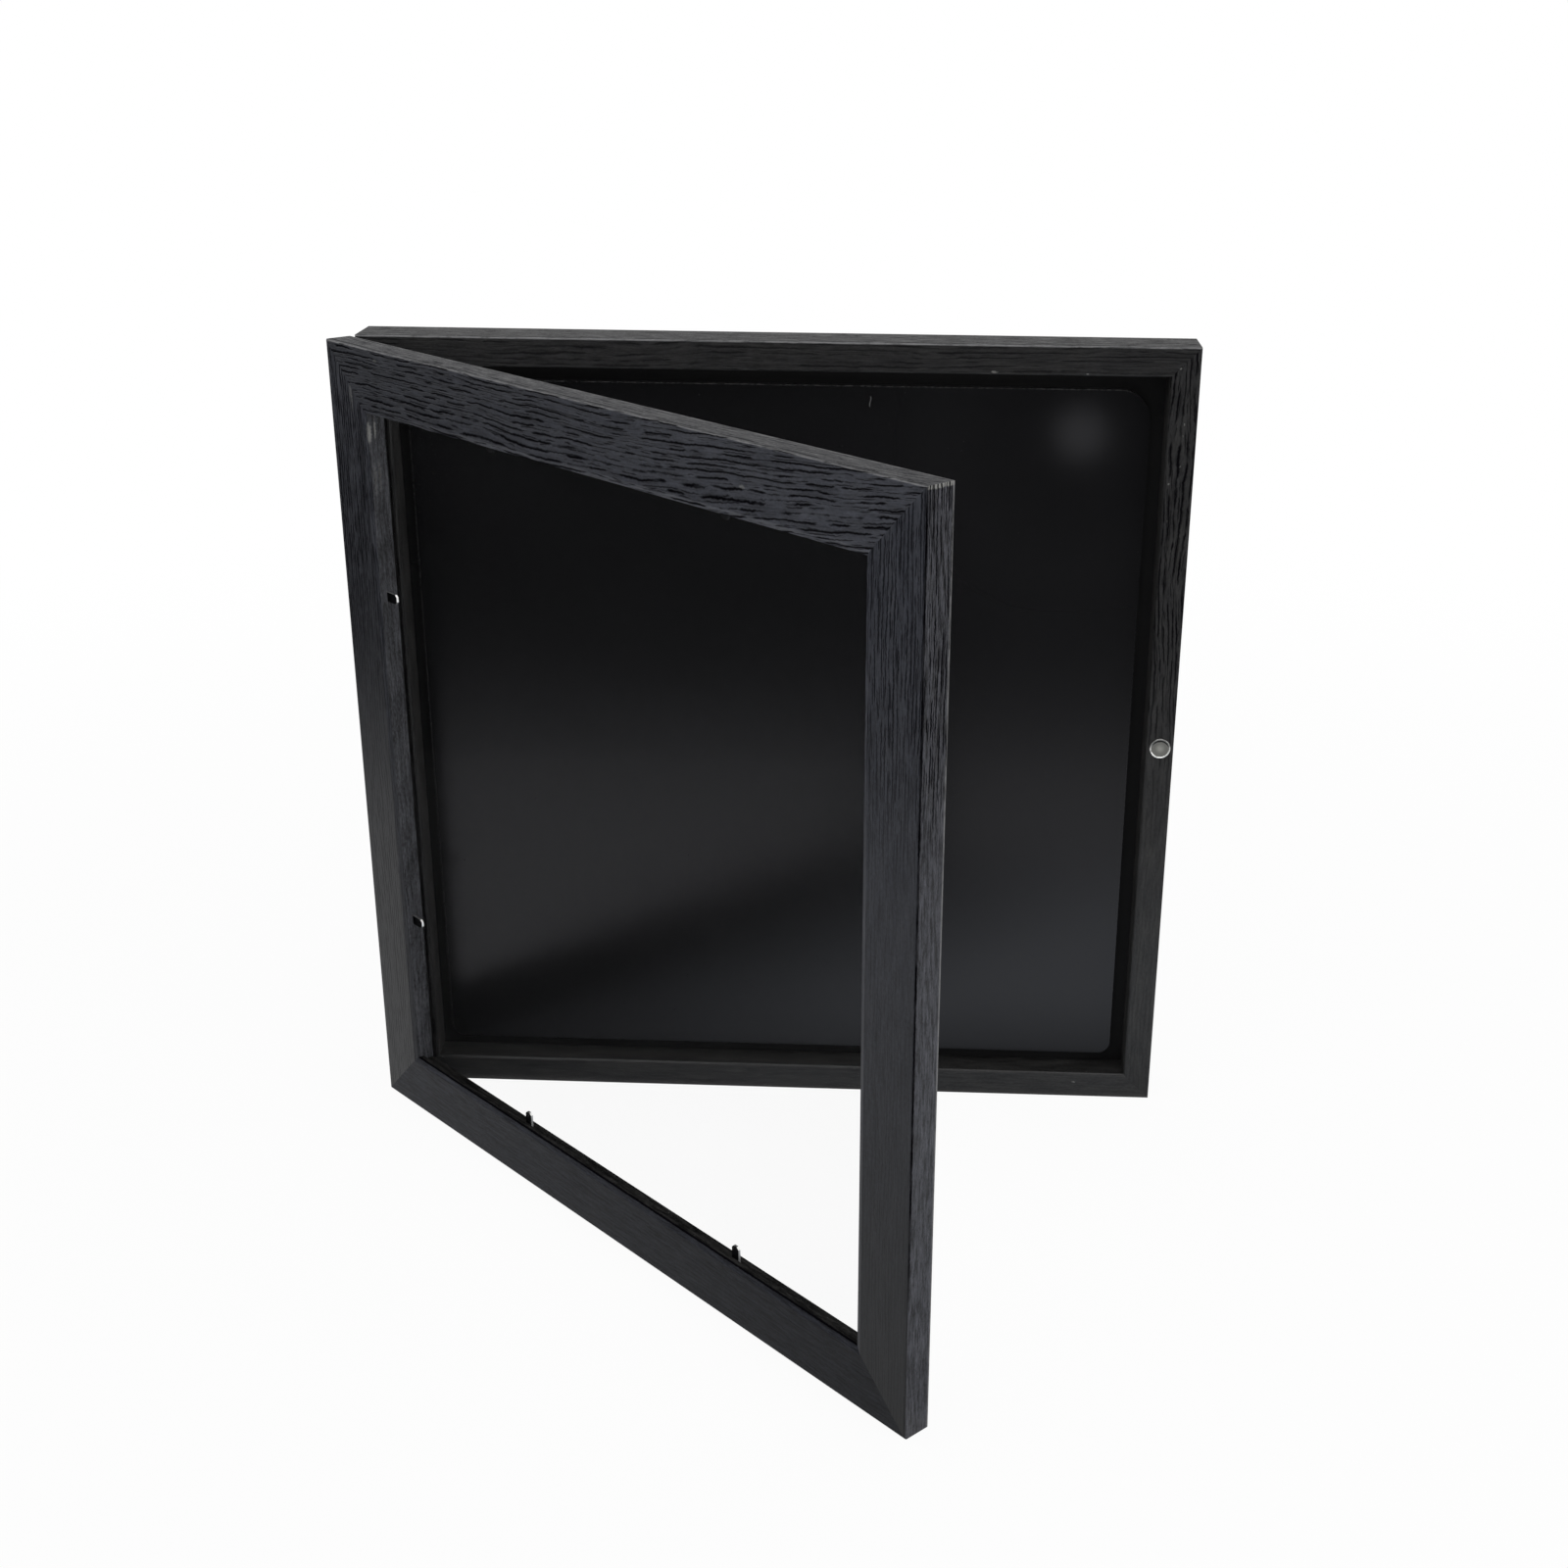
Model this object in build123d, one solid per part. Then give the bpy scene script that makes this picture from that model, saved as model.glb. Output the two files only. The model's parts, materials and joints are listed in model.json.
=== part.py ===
from build123d import *
import os

# Square shadow box frame with a front door, in millimetres.
# X is to the right, Y is towards the wall and Z is up.
# The origin is the middle of the box's underside.

# Whole frame
frame_width = 330.2
frame_height = 330.2
door_opening = 44.7

# Box rails
box_depth = 23.0
box_rail_width = 11.6
box_rebate_width = 5.0
box_front_edge_radius = 0.5
box_back_edge_radius = 1.0
box_sight_edge_radius = 1.5

# Back panel and display board
cavity_depth = 13.5
back_panel_thickness = 3.0
back_panel_play = 0.5
board_thickness = 3.0
board_top_corner_radius = 12.0
board_bottom_corner_radius = 5.5
board_gap_left = 4.5
board_gap_right = 5.9
board_gap_bottom = 5.0
board_gap_top = 6.8

# Door rails
door_thickness = 11.2
door_rail_width = 25.0
door_rebate_width = 5.0
door_lip_thickness = 3.6
door_bevel_width = 2.0
door_bevel_drop = 0.7
door_front_edge_radius = 0.9
door_back_edge_radius = 0.5

# Pane
pane_thickness = 2.0
pane_play = 0.5

# Steel points that hold the pane and the back panel
point_width = 3.8
point_thickness = 0.9
point_tip_cut = 1.0
point_play = 0.02
glazing_point_reach = 8.5
glazing_point_root = 5.0
stile_point_from_bottom = 88.5
stile_point_from_top = 99.5
rail_point_from_left = 101.4
rail_point_from_right = 96.4
back_point_reach = 6.0
back_point_root = 4.0
back_point_from_end = 70.0

# Corner nails across the mitres
corner_nail_leg = 3.6
corner_nail_thickness = 0.5
corner_nail_depth = 7.0
corner_nail_play = 0.02
box_corner_nail_margin = 0.8
door_corner_nail_margin = 4.4
door_corner_nail_outer_inset = 4.5

# Butt hinges
hinge_height = 30.0
hinge_end_distance = 55.0
hinge_leaf_thickness = 0.5
hinge_leaf_clearance = 0.2
hinge_leaf_margin = 2.2
hinge_leaf_corner_cut = 1.2
hinge_barrel_radius = 1.5
hinge_side_clearance = 0.1
hinge_pin_radius = 0.75
hinge_running_clearance = 0.05
hinge_knuckle_count = 3
hinge_knuckle_gap = 0.2
hinge_notch_clearance = 0.3
hinge_pin_head_radius = 1.25
hinge_pin_head_height = 0.6
hinge_screw_from_edge = 4.0
hinge_screw_from_end = 6.0

# Magnet and strike
magnet_above_middle = 0.9
magnet_off_centre = 0.2
magnet_cup_radius = 4.3
magnet_cup_wall = 0.7
magnet_cup_floor = 0.8
magnet_cup_length = 5.0
magnet_cup_proud = 0.5
magnet_disc_sunk = 0.1
magnet_play = 0.05
catch_clearance = 0.1
strike_thickness = 1.2

# Countersunk screws
screw_head_radius = 1.7
screw_shank_radius = 0.85
screw_tip_length = 1.6
screw_play = 0.03
hinge_screw_length = 8.0
strike_screw_length = 7.5

# Sawtooth hanger
hanger_length = 46.0
hanger_height = 9.0
hanger_thickness = 0.7
hanger_foot = 8.0
hanger_ramp = 2.0
hanger_rise = 1.8
hanger_tooth_pitch = 2.8
hanger_tooth_depth = 1.6
hanger_prong_length = 2.4
hanger_prong_width = 3.4
hanger_prong_spacing = 5.4
hanger_prong_play = 0.02
hanger_drop = 28.0

# Planes, from the front of the door to the wall
door_gap = 2 * hinge_leaf_thickness + hinge_leaf_clearance
front_y = -box_depth / 2
back_y = box_depth / 2
panel_front_y = front_y + cavity_depth
panel_back_y = panel_front_y + back_panel_thickness
door_back_y = front_y - door_gap
door_front_y = door_back_y - door_thickness
door_lip_y = door_front_y + door_lip_thickness
pane_back_y = door_lip_y + pane_thickness

# Insets from the frame's outer edges
box_rebate_wall = box_rail_width - box_rebate_width
door_rebate_wall = door_rail_width - door_rebate_width
box_corner_nail_inset = box_rebate_wall - corner_nail_leg - box_corner_nail_margin
door_corner_nail_inner_inset = door_rebate_wall - corner_nail_leg - door_corner_nail_margin
door_corner_nail_insets = (door_corner_nail_outer_inset, door_corner_nail_inner_inset)
magnet_inset = box_rail_width / 2 - magnet_off_centre

# Hinges and catch
hinge_axis_x = -frame_width / 2 - hinge_barrel_radius - hinge_side_clearance
hinge_axis_y = front_y - door_gap / 2
hinge_centres = {"lower": hinge_end_distance, "upper": frame_height - hinge_end_distance}
hinge_leaf_width = box_rail_width - hinge_leaf_margin
hinge_screw_inset = hinge_leaf_width - hinge_screw_from_edge
hinge_screw_heights = (hinge_screw_from_end - hinge_height / 2, hinge_height / 2 - hinge_screw_from_end)
knuckle_height = hinge_height / hinge_knuckle_count
screw_head_height = hinge_leaf_thickness
magnet_x = frame_width / 2 - magnet_inset
magnet_z = frame_height / 2 + magnet_above_middle
strike_proud = door_gap - magnet_cup_proud - catch_clearance

# Hanger
hanger_z = frame_height - box_rail_width - hanger_drop
hanger_place = Pos(0, panel_back_y, hanger_z)

# The turn from the shut door to the open one
door_swing = Pos(hinge_axis_x, hinge_axis_y, 0) * Rot(0, 0, -door_opening)
door_swing *= Pos(-hinge_axis_x, -hinge_axis_y, 0)

# Each side's place: the middle of its outer edge, X along the rail and Z to the frame's middle
side_frames = {
    "bottom": Pos(0, 0, 0),
    "right": Pos(frame_width / 2, 0, frame_height / 2) * Rot(0, -90, 0),
    "top": Pos(0, 0, frame_height) * Rot(0, 180, 0),
    "left": Pos(-frame_width / 2, 0, frame_height / 2) * Rot(0, 90, 0),
}
side_lengths = {
    "bottom": frame_width,
    "right": frame_height,
    "top": frame_width,
    "left": frame_height,
}

# Each outer corner's place, with X and Z along the two rails that meet there
corner_frames = (
    Pos(-frame_width / 2, 0, 0),
    Pos(frame_width / 2, 0, 0) * Rot(0, -90, 0),
    Pos(frame_width / 2, 0, frame_height) * Rot(0, 180, 0),
    Pos(-frame_width / 2, 0, frame_height) * Rot(0, 90, 0),
)


def placed(shape, places):
    """Separate copies of one shape."""
    return [place * shape for place in places]


def along_side(side, from_low_end, from_high_end):
    """Two places on a side's own X, measured from its left or lower end and from the other."""
    half = side_lengths[side] / 2
    turn = 1 if side in ("bottom", "right") else -1
    return (turn * (from_low_end - half), turn * (half - from_high_end))


# Mouldings


def section_face(corners):
    """A moulding's section from corners of depth, inset and edge radius."""
    face = make_face(Polyline(*[corner[:2] for corner in corners], close=True))
    for depth, inset, radius in corners:
        if radius > 0:
            corner = face.vertices().sort_by_distance((depth, inset, 0))[0]
            face = fillet(corner, radius)
    return face


def box_section():
    return section_face(
        [
            (front_y, 0, box_front_edge_radius),
            (back_y, 0, box_back_edge_radius),
            (back_y, box_rebate_wall, 0),
            (panel_front_y, box_rebate_wall, 0),
            (panel_front_y, box_rail_width, 0),
            (front_y, box_rail_width, box_sight_edge_radius),
        ]
    )


def door_section():
    return section_face(
        [
            (door_front_y, 0, door_front_edge_radius),
            (door_back_y, 0, door_back_edge_radius),
            (door_back_y, door_rebate_wall, 0),
            (door_lip_y, door_rebate_wall, 0),
            (door_lip_y, door_rail_width, 0),
            (door_front_y + door_bevel_drop, door_rail_width, 0),
            (door_front_y, door_rail_width - door_bevel_width, 0),
        ]
    )


def mitred_rail(section, length):
    """The section run along X and cut at 45 degrees at both ends."""
    rail = extrude(Plane.YZ * section, length / 2, both=True)
    for end in (-1, 1):
        mitre = Plane(origin=(end * length / 2, 0, 0), z_dir=(end, 0, 1))
        rail = split(rail, bisect_by=mitre, keep=Keep.BOTTOM)
    return rail


def mitred_frame(section, pockets):
    """Four rails round the frame, less the pockets of all that is driven into them."""
    return {
        side: place * mitred_rail(section, side_lengths[side]) - pockets
        for side, place in side_frames.items()
    }


# Points and corner nails


def steel_point(reach, root, play=0.0):
    """A flat point on the plane Y = 0, driven down from Z = 0 into a rebate wall."""
    outline = Pos(0, (reach - root) / 2) * Rectangle(point_width, root + reach)
    outline = chamfer(outline.vertices().group_by(Axis.Y)[-1], point_tip_cut)
    blade = offset(outline, play, kind=Kind.INTERSECTION)
    return extrude(Plane.XZ * blade, point_thickness + play)


def glazing_point(play=0.0):
    return steel_point(glazing_point_reach, glazing_point_root, play)


def back_point(play=0.0):
    return steel_point(back_point_reach, back_point_root, play)


def glazing_point_places():
    """The points of the uprights, then of the level rails, all on the pane's back."""
    ends = {
        "left": (stile_point_from_bottom, stile_point_from_top),
        "right": (stile_point_from_bottom, stile_point_from_top),
        "bottom": (rail_point_from_left, rail_point_from_right),
        "top": (rail_point_from_left, rail_point_from_right),
    }
    seat = Pos(0, pane_back_y + point_thickness, door_rebate_wall)
    return [
        side_frames[side] * Pos(x, 0, 0) * seat
        for side, (low, high) in ends.items()
        for x in along_side(side, low, high)
    ]


def back_point_places():
    seat = Pos(0, panel_back_y + point_thickness, box_rebate_wall)
    return [
        place * Pos(x, 0, 0) * seat
        for side, place in side_frames.items()
        for x in along_side(side, back_point_from_end, back_point_from_end)
    ]


def corner_nail(inset, play=0.0):
    """A V-nail with one leg in each rail, driven in from the plane Y = 0."""
    low = inset - corner_nail_thickness / 2 - play
    high = inset + corner_nail_thickness / 2 + play
    end = inset + corner_nail_leg + play
    corners = [(low, low), (end, low), (end, high), (high, high), (high, end), (low, end)]
    outline = make_face(Polyline(*corners, close=True))
    return extrude(Plane.XZ * outline, corner_nail_depth + play)


def box_corner_nails(play=0.0):
    places = [corner * Pos(0, back_y, 0) for corner in corner_frames]
    return placed(corner_nail(box_corner_nail_inset, play), places)


def door_corner_nails(play=0.0):
    nails = []
    places = [corner * Pos(0, door_back_y, 0) for corner in corner_frames]
    for inset in door_corner_nail_insets:
        nails += placed(corner_nail(inset, play), places)
    return nails


# Screws


def countersunk(length, tip_length, play=0.0):
    """A turned shape with a countersunk head on Z = 0 and its shank below."""
    head = screw_head_radius + play
    shank = screw_shank_radius + play
    corners = [(0, 0), (head, 0), (shank, -screw_head_height), (shank, tip_length - length - play)]
    outline = Polyline(*corners, (0, -length - play), close=True)
    return revolve(Plane.XZ * make_face(outline), Axis.Z)


def countersunk_screw(length):
    return countersunk(length, screw_tip_length)


def screw_hole(length):
    return countersunk(length, 0.0, screw_play)


def screw_place(x, y, z, towards_wall):
    """A screw's place on an upright face, driven towards the wall or away from it."""
    return Pos(x, y, z) * Rot(90 if towards_wall else -90, 0, 0)


# Hinges


def hinge_leaf(on_door):
    """A butt hinge leaf round the pin's axis at X = Y = 0, with its plate towards +X."""
    facing = -1 if on_door else 1
    first = 1 if on_door else 0
    side_x = hinge_barrel_radius + hinge_side_clearance
    seat_y = facing * door_gap / 2
    face_y = seat_y - facing * hinge_leaf_thickness
    reach = side_x + hinge_leaf_width
    outline = Pos(reach / 2, 0) * Rectangle(reach, hinge_height)
    outline = chamfer(outline.vertices().group_by(Axis.X)[-1], hinge_leaf_corner_cut)
    leaf = Pos(0, seat_y, 0) * extrude(Plane.XZ * outline, facing * hinge_leaf_thickness)
    notch_width = 2 * (hinge_barrel_radius + hinge_notch_clearance)
    notch = Box(notch_width, door_gap, knuckle_height + hinge_knuckle_gap)
    knuckle = Cylinder(hinge_barrel_radius, knuckle_height - hinge_knuckle_gap)
    for index in range(hinge_knuckle_count):
        z = (index + 0.5) * knuckle_height - hinge_height / 2
        if index % 2 == first:
            leaf += Pos(0, 0, z) * knuckle
        else:
            leaf -= Pos(0, seat_y, z) * notch
    leaf -= Cylinder(hinge_pin_radius + hinge_running_clearance, 2 * hinge_height)
    for z in hinge_screw_heights:
        place = screw_place(side_x + hinge_screw_inset, face_y, z, not on_door)
        leaf -= place * screw_hole(hinge_screw_length)
    return leaf


def hinge_pin():
    """The pin, with a flat head that rests on the box leaf's upper end."""
    head = Cylinder(hinge_pin_head_radius, hinge_pin_head_height)
    head = Pos(0, 0, (hinge_height + hinge_pin_head_height) / 2) * head
    return Cylinder(hinge_pin_radius, hinge_height) + head


def hinge_screw_places(on_door):
    """Where the screws of both hinges lie, on the faces of the box's or the door's leaves."""
    facing = -1 if on_door else 1
    face_y = hinge_axis_y + facing * (door_gap / 2 - hinge_leaf_thickness)
    x = -frame_width / 2 + hinge_screw_inset
    return [
        screw_place(x, face_y, centre + z, not on_door)
        for centre in hinge_centres.values()
        for z in hinge_screw_heights
    ]


# Magnet catch


def magnet_cup():
    """The cup has its mouth on Z = 0 and its floor below."""
    hollow = magnet_cup_length - magnet_cup_floor
    cup = Pos(0, 0, -magnet_cup_length / 2) * Cylinder(magnet_cup_radius, magnet_cup_length)
    return cup - Pos(0, 0, -hollow / 2) * Cylinder(magnet_cup_radius - magnet_cup_wall, hollow)


def magnet_disc():
    """The magnet fills the cup up to a little below its mouth."""
    radius = magnet_cup_radius - magnet_cup_wall - magnet_play
    length = magnet_cup_length - magnet_cup_floor - magnet_disc_sunk
    return Pos(0, 0, -magnet_disc_sunk - length / 2) * Cylinder(radius, length)


def magnet_bore():
    depth = magnet_cup_length - magnet_cup_proud
    return Pos(0, 0, -depth / 2) * Cylinder(magnet_cup_radius + magnet_play, depth)


def strike_plate():
    """A round plate as wide as the cup, with its face on Z = 0 and a countersunk hole."""
    plate = Pos(0, 0, -strike_thickness / 2) * Cylinder(magnet_cup_radius, strike_thickness)
    return plate - screw_hole(strike_screw_length)


def strike_seat():
    """The strike's pocket in the door's back and its screw's hole."""
    depth = strike_thickness - strike_proud
    pocket = Cylinder(magnet_cup_radius + magnet_play, depth)
    return Pos(0, 0, -strike_thickness + depth / 2) * pocket + screw_hole(strike_screw_length)


def magnet_place(proud):
    return screw_place(magnet_x, front_y - proud, magnet_z, True)


def strike_place():
    return screw_place(magnet_x, door_back_y + strike_proud, magnet_z, False)


# Hanger


def hanger_tooth_cutter(length):
    """One notch after another along X, as many as fit the length, pointed at the top."""
    low = -hanger_height / 2
    half = hanger_tooth_pitch / 2
    corners = [(-half, 2 * low), (-half, low), (0, low + hanger_tooth_depth), (half, low), (half, 2 * low)]
    notch = extrude(Plane.XZ * make_face(Polyline(*corners, close=True)), hanger_height, both=True)
    count = int(length / hanger_tooth_pitch)
    return [Pos((index - (count - 1) / 2) * hanger_tooth_pitch, 0, 0) * notch for index in range(count)]


def hanger_prongs(play=0.0):
    """Two points under the outer end of each foot, below the plane Y = 0."""
    half = hanger_prong_width / 2 + play
    outline = make_face(Polyline((0, -half), (-hanger_prong_length - play, 0), (0, half), close=True))
    prong = extrude(Plane.YZ * outline, hanger_thickness / 2 + play, both=True)
    x = (hanger_length - hanger_thickness) / 2
    z = hanger_prong_spacing / 2
    return placed(prong, [Pos(x, 0, z), Pos(x, 0, -z), Pos(-x, 0, z), Pos(-x, 0, -z)])


def sawtooth_hanger():
    """A pronged strip on the plane Y = 0 with two flat feet and a raised, toothed bridge."""
    end = hanger_length / 2
    bend = end - hanger_foot
    bridge = bend - hanger_ramp
    under = [(-end, 0), (-bend, 0), (-bridge, hanger_rise), (bridge, hanger_rise), (bend, 0), (end, 0)]
    over = [(x, y + hanger_thickness) for x, y in reversed(under)]
    strip = make_face(Polyline(*under, *over, close=True))
    hanger = extrude(strip, hanger_height / 2, both=True) - hanger_tooth_cutter(2 * bridge)
    return hanger + hanger_prongs()


# Boards and pane


def upright_sheet(low_y, thickness, inset):
    """A flat sheet that ends one inset inside the frame's outer edges."""
    sheet = Box(frame_width - 2 * inset, thickness, frame_height - 2 * inset)
    return Pos(0, low_y + thickness / 2, frame_height / 2) * sheet


def back_panel():
    panel = upright_sheet(panel_front_y, back_panel_thickness, box_rebate_wall + back_panel_play)
    return panel - [hanger_place * prong for prong in hanger_prongs(hanger_prong_play)]


def display_board():
    left = -frame_width / 2 + box_rail_width + board_gap_left
    right = frame_width / 2 - box_rail_width - board_gap_right
    bottom = box_rail_width + board_gap_bottom
    top = frame_height - box_rail_width - board_gap_top
    outline = Rectangle(right - left, top - bottom)
    outline = fillet(outline.vertices().group_by(Axis.Y)[-1], board_top_corner_radius)
    outline = fillet(outline.vertices().group_by(Axis.Y)[0], board_bottom_corner_radius)
    board = extrude(Plane.XZ * outline, board_thickness)
    return Pos((left + right) / 2, panel_front_y, (bottom + top) / 2) * board


def glazing_panel():
    return upright_sheet(door_lip_y, pane_thickness, door_rebate_wall + pane_play)


# The two halves


def box_rails():
    pockets = placed(back_point(point_play), back_point_places())
    pockets += box_corner_nails(corner_nail_play)
    pockets += placed(screw_hole(hinge_screw_length), hinge_screw_places(False))
    pockets += [magnet_place(0) * magnet_bore()]
    return mitred_frame(box_section(), pockets)


def door_rails():
    pockets = placed(glazing_point(point_play), glazing_point_places())
    pockets += door_corner_nails(corner_nail_play)
    pockets += placed(screw_hole(hinge_screw_length), hinge_screw_places(True))
    pockets += [strike_place() * strike_seat()]
    return mitred_frame(door_section(), pockets)


def box_nodes():
    """Every piece of the box, each node as a list of its solids."""
    hinge_screw = countersunk_screw(hinge_screw_length)
    nodes = {f"box_rail_{side}": [rail] for side, rail in box_rails().items()}
    nodes["back_panel"] = [back_panel()]
    nodes["display_board"] = [display_board()]
    nodes["back_panel_points"] = placed(back_point(), back_point_places())
    nodes["box_corner_nails"] = box_corner_nails()
    nodes["magnet_cup"] = [magnet_place(magnet_cup_proud) * magnet_cup()]
    nodes["magnet_disc"] = [magnet_place(magnet_cup_proud) * magnet_disc()]
    nodes["sawtooth_hanger"] = [hanger_place * sawtooth_hanger()]
    nodes["hinge_box_screws"] = placed(hinge_screw, hinge_screw_places(False))
    for name, z in hinge_centres.items():
        axis = Pos(hinge_axis_x, hinge_axis_y, z)
        nodes[f"{name}_hinge_box_leaf"] = [axis * hinge_leaf(False)]
        nodes[f"{name}_hinge_pin"] = [axis * hinge_pin()]
    return nodes


def door_nodes():
    """Every piece of the shut door, each node as a list of its solids."""
    hinge_screw = countersunk_screw(hinge_screw_length)
    nodes = {f"door_rail_{side}": [rail] for side, rail in door_rails().items()}
    nodes["glazing_panel"] = [glazing_panel()]
    nodes["glazing_points"] = placed(glazing_point(), glazing_point_places())
    nodes["door_corner_nails"] = door_corner_nails()
    nodes["strike_plate"] = [strike_place() * strike_plate()]
    nodes["strike_screw"] = [strike_place() * countersunk_screw(strike_screw_length)]
    nodes["hinge_door_screws"] = placed(hinge_screw, hinge_screw_places(True))
    for name, z in hinge_centres.items():
        axis = Pos(hinge_axis_x, hinge_axis_y, z)
        nodes[f"{name}_hinge_door_leaf"] = [axis * hinge_leaf(True)]
    return nodes


def write(name, shapes):
    solids = [solid for shape in shapes for solid in shape.solids()]
    whole = solids[0] if len(solids) == 1 else Compound(children=solids)
    whole.label = name
    export_step(whole, f"parts/{name}.step")


os.makedirs("parts", exist_ok=True)
for node, shapes in box_nodes().items():
    write(node, shapes)
for node, shapes in door_nodes().items():
    write(node, [door_swing * shape for shape in shapes])
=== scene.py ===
import json
import math
from collections import namedtuple

import bpy
from mathutils import Matrix, Vector


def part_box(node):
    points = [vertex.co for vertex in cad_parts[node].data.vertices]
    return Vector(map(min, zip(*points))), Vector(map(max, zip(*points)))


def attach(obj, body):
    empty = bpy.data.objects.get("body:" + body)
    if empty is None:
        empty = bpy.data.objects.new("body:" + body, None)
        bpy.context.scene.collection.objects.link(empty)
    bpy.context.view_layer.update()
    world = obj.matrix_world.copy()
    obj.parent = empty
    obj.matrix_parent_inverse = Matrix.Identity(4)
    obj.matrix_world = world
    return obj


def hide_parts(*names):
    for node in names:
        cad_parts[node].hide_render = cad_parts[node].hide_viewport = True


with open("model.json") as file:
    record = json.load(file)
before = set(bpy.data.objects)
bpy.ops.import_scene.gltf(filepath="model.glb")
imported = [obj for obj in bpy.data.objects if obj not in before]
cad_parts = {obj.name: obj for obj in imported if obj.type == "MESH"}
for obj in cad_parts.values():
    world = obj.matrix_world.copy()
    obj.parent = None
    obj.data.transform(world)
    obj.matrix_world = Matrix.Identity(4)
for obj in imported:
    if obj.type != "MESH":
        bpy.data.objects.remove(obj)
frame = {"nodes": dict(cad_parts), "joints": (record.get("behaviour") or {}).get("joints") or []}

bl_info = {
    "name": "Shadow box frame",
    "version": (1, 0, 0),
    "blender": (4, 5, 0),
    "location": "3D View > Sidebar > Shadow box",
    "description": "Dresses the square shadow box frame and sets up its studio",
    "category": "Object",
}

# Sizes of the frame, in metres

MM = 0.001
X_AXIS, Y_AXIS, Z_AXIS = Vector((1, 0, 0)), Vector((0, 1, 0)), Vector((0, 0, 1))
SIDES = ("bottom", "right", "top", "left")
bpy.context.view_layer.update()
box_low, box_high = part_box("box_rail_top")
FRAME_WIDTH = box_high.x - box_low.x
FRAME_HEIGHT = box_high.z
BOX_FRONT = box_low.y
BOX_BACK = box_high.y
BOX_RAIL_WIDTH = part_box("box_rail_bottom")[1].z
HINGE = frame["joints"][0]
HINGE_AXIS = Vector(HINGE["pos_m"])
DOOR_ANGLE = math.radians(-HINGE["range_deg"][0])
DOOR_THICKNESS = 0.0112
DOOR_RAIL_WIDTH = 0.025
DOOR_FRONT = 2 * HINGE_AXIS.y - BOX_FRONT - DOOR_THICKNESS

# The magnet's cup: where it lies in X and Z, its wall, its floor and the radius of its lip.
MAGNET_PLACE = (0.1595, 0.166)
CUP_WALL, CUP_FLOOR, LIP_RADIUS = 0.0007, 0.0008, 0.0003
CUP_SIDES, LIP_SEGMENTS = 96, 4
# The countersunk screws: their sizes, how far in from the frame's edge and how high they lie, and the
# faces that their heads are flush with. The door's two are measured back from its front.
SCREW_HEAD, SCREW_HEAD_HEIGHT, SCREW_SHANK, SCREW_TIP = 0.0017, 0.0005, 0.00085, 0.0016
SCREW_SIDES, SCREW_EDGE, SCREW_EDGE_SEGMENTS, TIP_SHARE = 40, 0.00006, 2, 0.15
RECESS_SIZE = (0.0017, 0.0004, 0.00084)
HINGE_SCREW, STRIKE_SCREW = 0.008, 0.0075
SCREW_INSET = 0.0054
SCREW_HEIGHTS = (0.046, 0.064, 0.2662, 0.2842)
LEAF_FACE = BOX_FRONT - 0.0005
DOOR_LEAF_FACE = DOOR_THICKNESS + 0.0005
STRIKE_FACE = DOOR_THICKNESS + 0.0006
# How far the first screw is turned, and each next one beyond it, in radians.
FIRST_TURN, NEXT_TURN = 0.4, 1.9
# Edges sharper than the first angle are rounded, and those sharper than the second stay crisp.
ROUNDED_ANGLE, CRISP_ANGLE = math.radians(50), math.radians(40)

# The film on the rails. Tables name a rail by its body and side, and their lengths are in mm.

# How worn the outer front edge and the outer back edge of each rail are, with a painted highlight there.
WEAR_AND_HIGHLIGHT = {"bottom": (0.1, 0.1), "right": (0.1, 0.9), "top": (0.9, 0.9), "left": (0.2, 0.3)}
# The grain on a rail's front or outer side: strength of its bold, middle and thin pores, the cover of
# the bold ones, then where along the rail it starts and is full, and its least share before that.
Grain = namedtuple("Grain", "bold middle thin cover start full least", defaults=(0, 1, 1.0))
# For each rail the grain of its front and of its outer side, then its painted light and shade: how pale
# the film is on its front at its left or low end and at the other, and on its outer side.
Rail = namedtuple("Rail", "front side shades")
RAILS = {
    ("box", "bottom"): Rail(Grain(0.15, 0.12, 0.08, 0.36), Grain(0.3, 0.3, 0.3, 0.40), (0.8, 1.2, 1.0)),
    ("box", "right"): Rail(
        Grain(1.0, 0.75, 0.3, 0.75, 110, 230, 0.15), Grain(0.8, 0.6, 0.4, 0.60, 100, 220, 0.3),
        (1.0, 1.05, 1.0),
    ),
    ("box", "top"): Rail(Grain(0.65, 0.35, 0.15, 0.50), Grain(0.2, 0.35, 0.5, 0.40), (0.95, 0.75, 1.0)),
    # The box's left rail is painted darker: painted shade of the open door.
    ("box", "left"): Rail(
        Grain(0.6, 0.5, 0.4, 0.50), Grain(0.6, 0.5, 0.4, 0.50, 100, 220, 0.4), (0.3, 0.3, 1.0)
    ),
    ("door", "bottom"): Rail(Grain(0.1, 0.2, 0.1, 0.40), Grain(0.3, 0.3, 0.3, 0.40), (1.0, 0.6, 1.0)),
    ("door", "right"): Rail(
        Grain(0.8, 0.8, 0.35, 0.75, 195, 262, 0.15), Grain(1.0, 1.0, 0.7, 1.1, 195, 250, 0.08),
        (0.2, 2.6, 2.3),
    ),
    ("door", "top"): Rail(Grain(1.0, 0.8, 0.3, 0.9), Grain(0.25, 0.4, 0.5, 0.40), (1.5, 2.9, 1.0)),
    ("door", "left"): Rail(
        Grain(1.0, 0.9, 0.7, 0.80, 160, 270, 0.3), Grain(0.8, 0.5, 0.4, 0.50, 100, 220, 0.3),
        (0.35, 2.2, 1.0),
    ),
}
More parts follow.
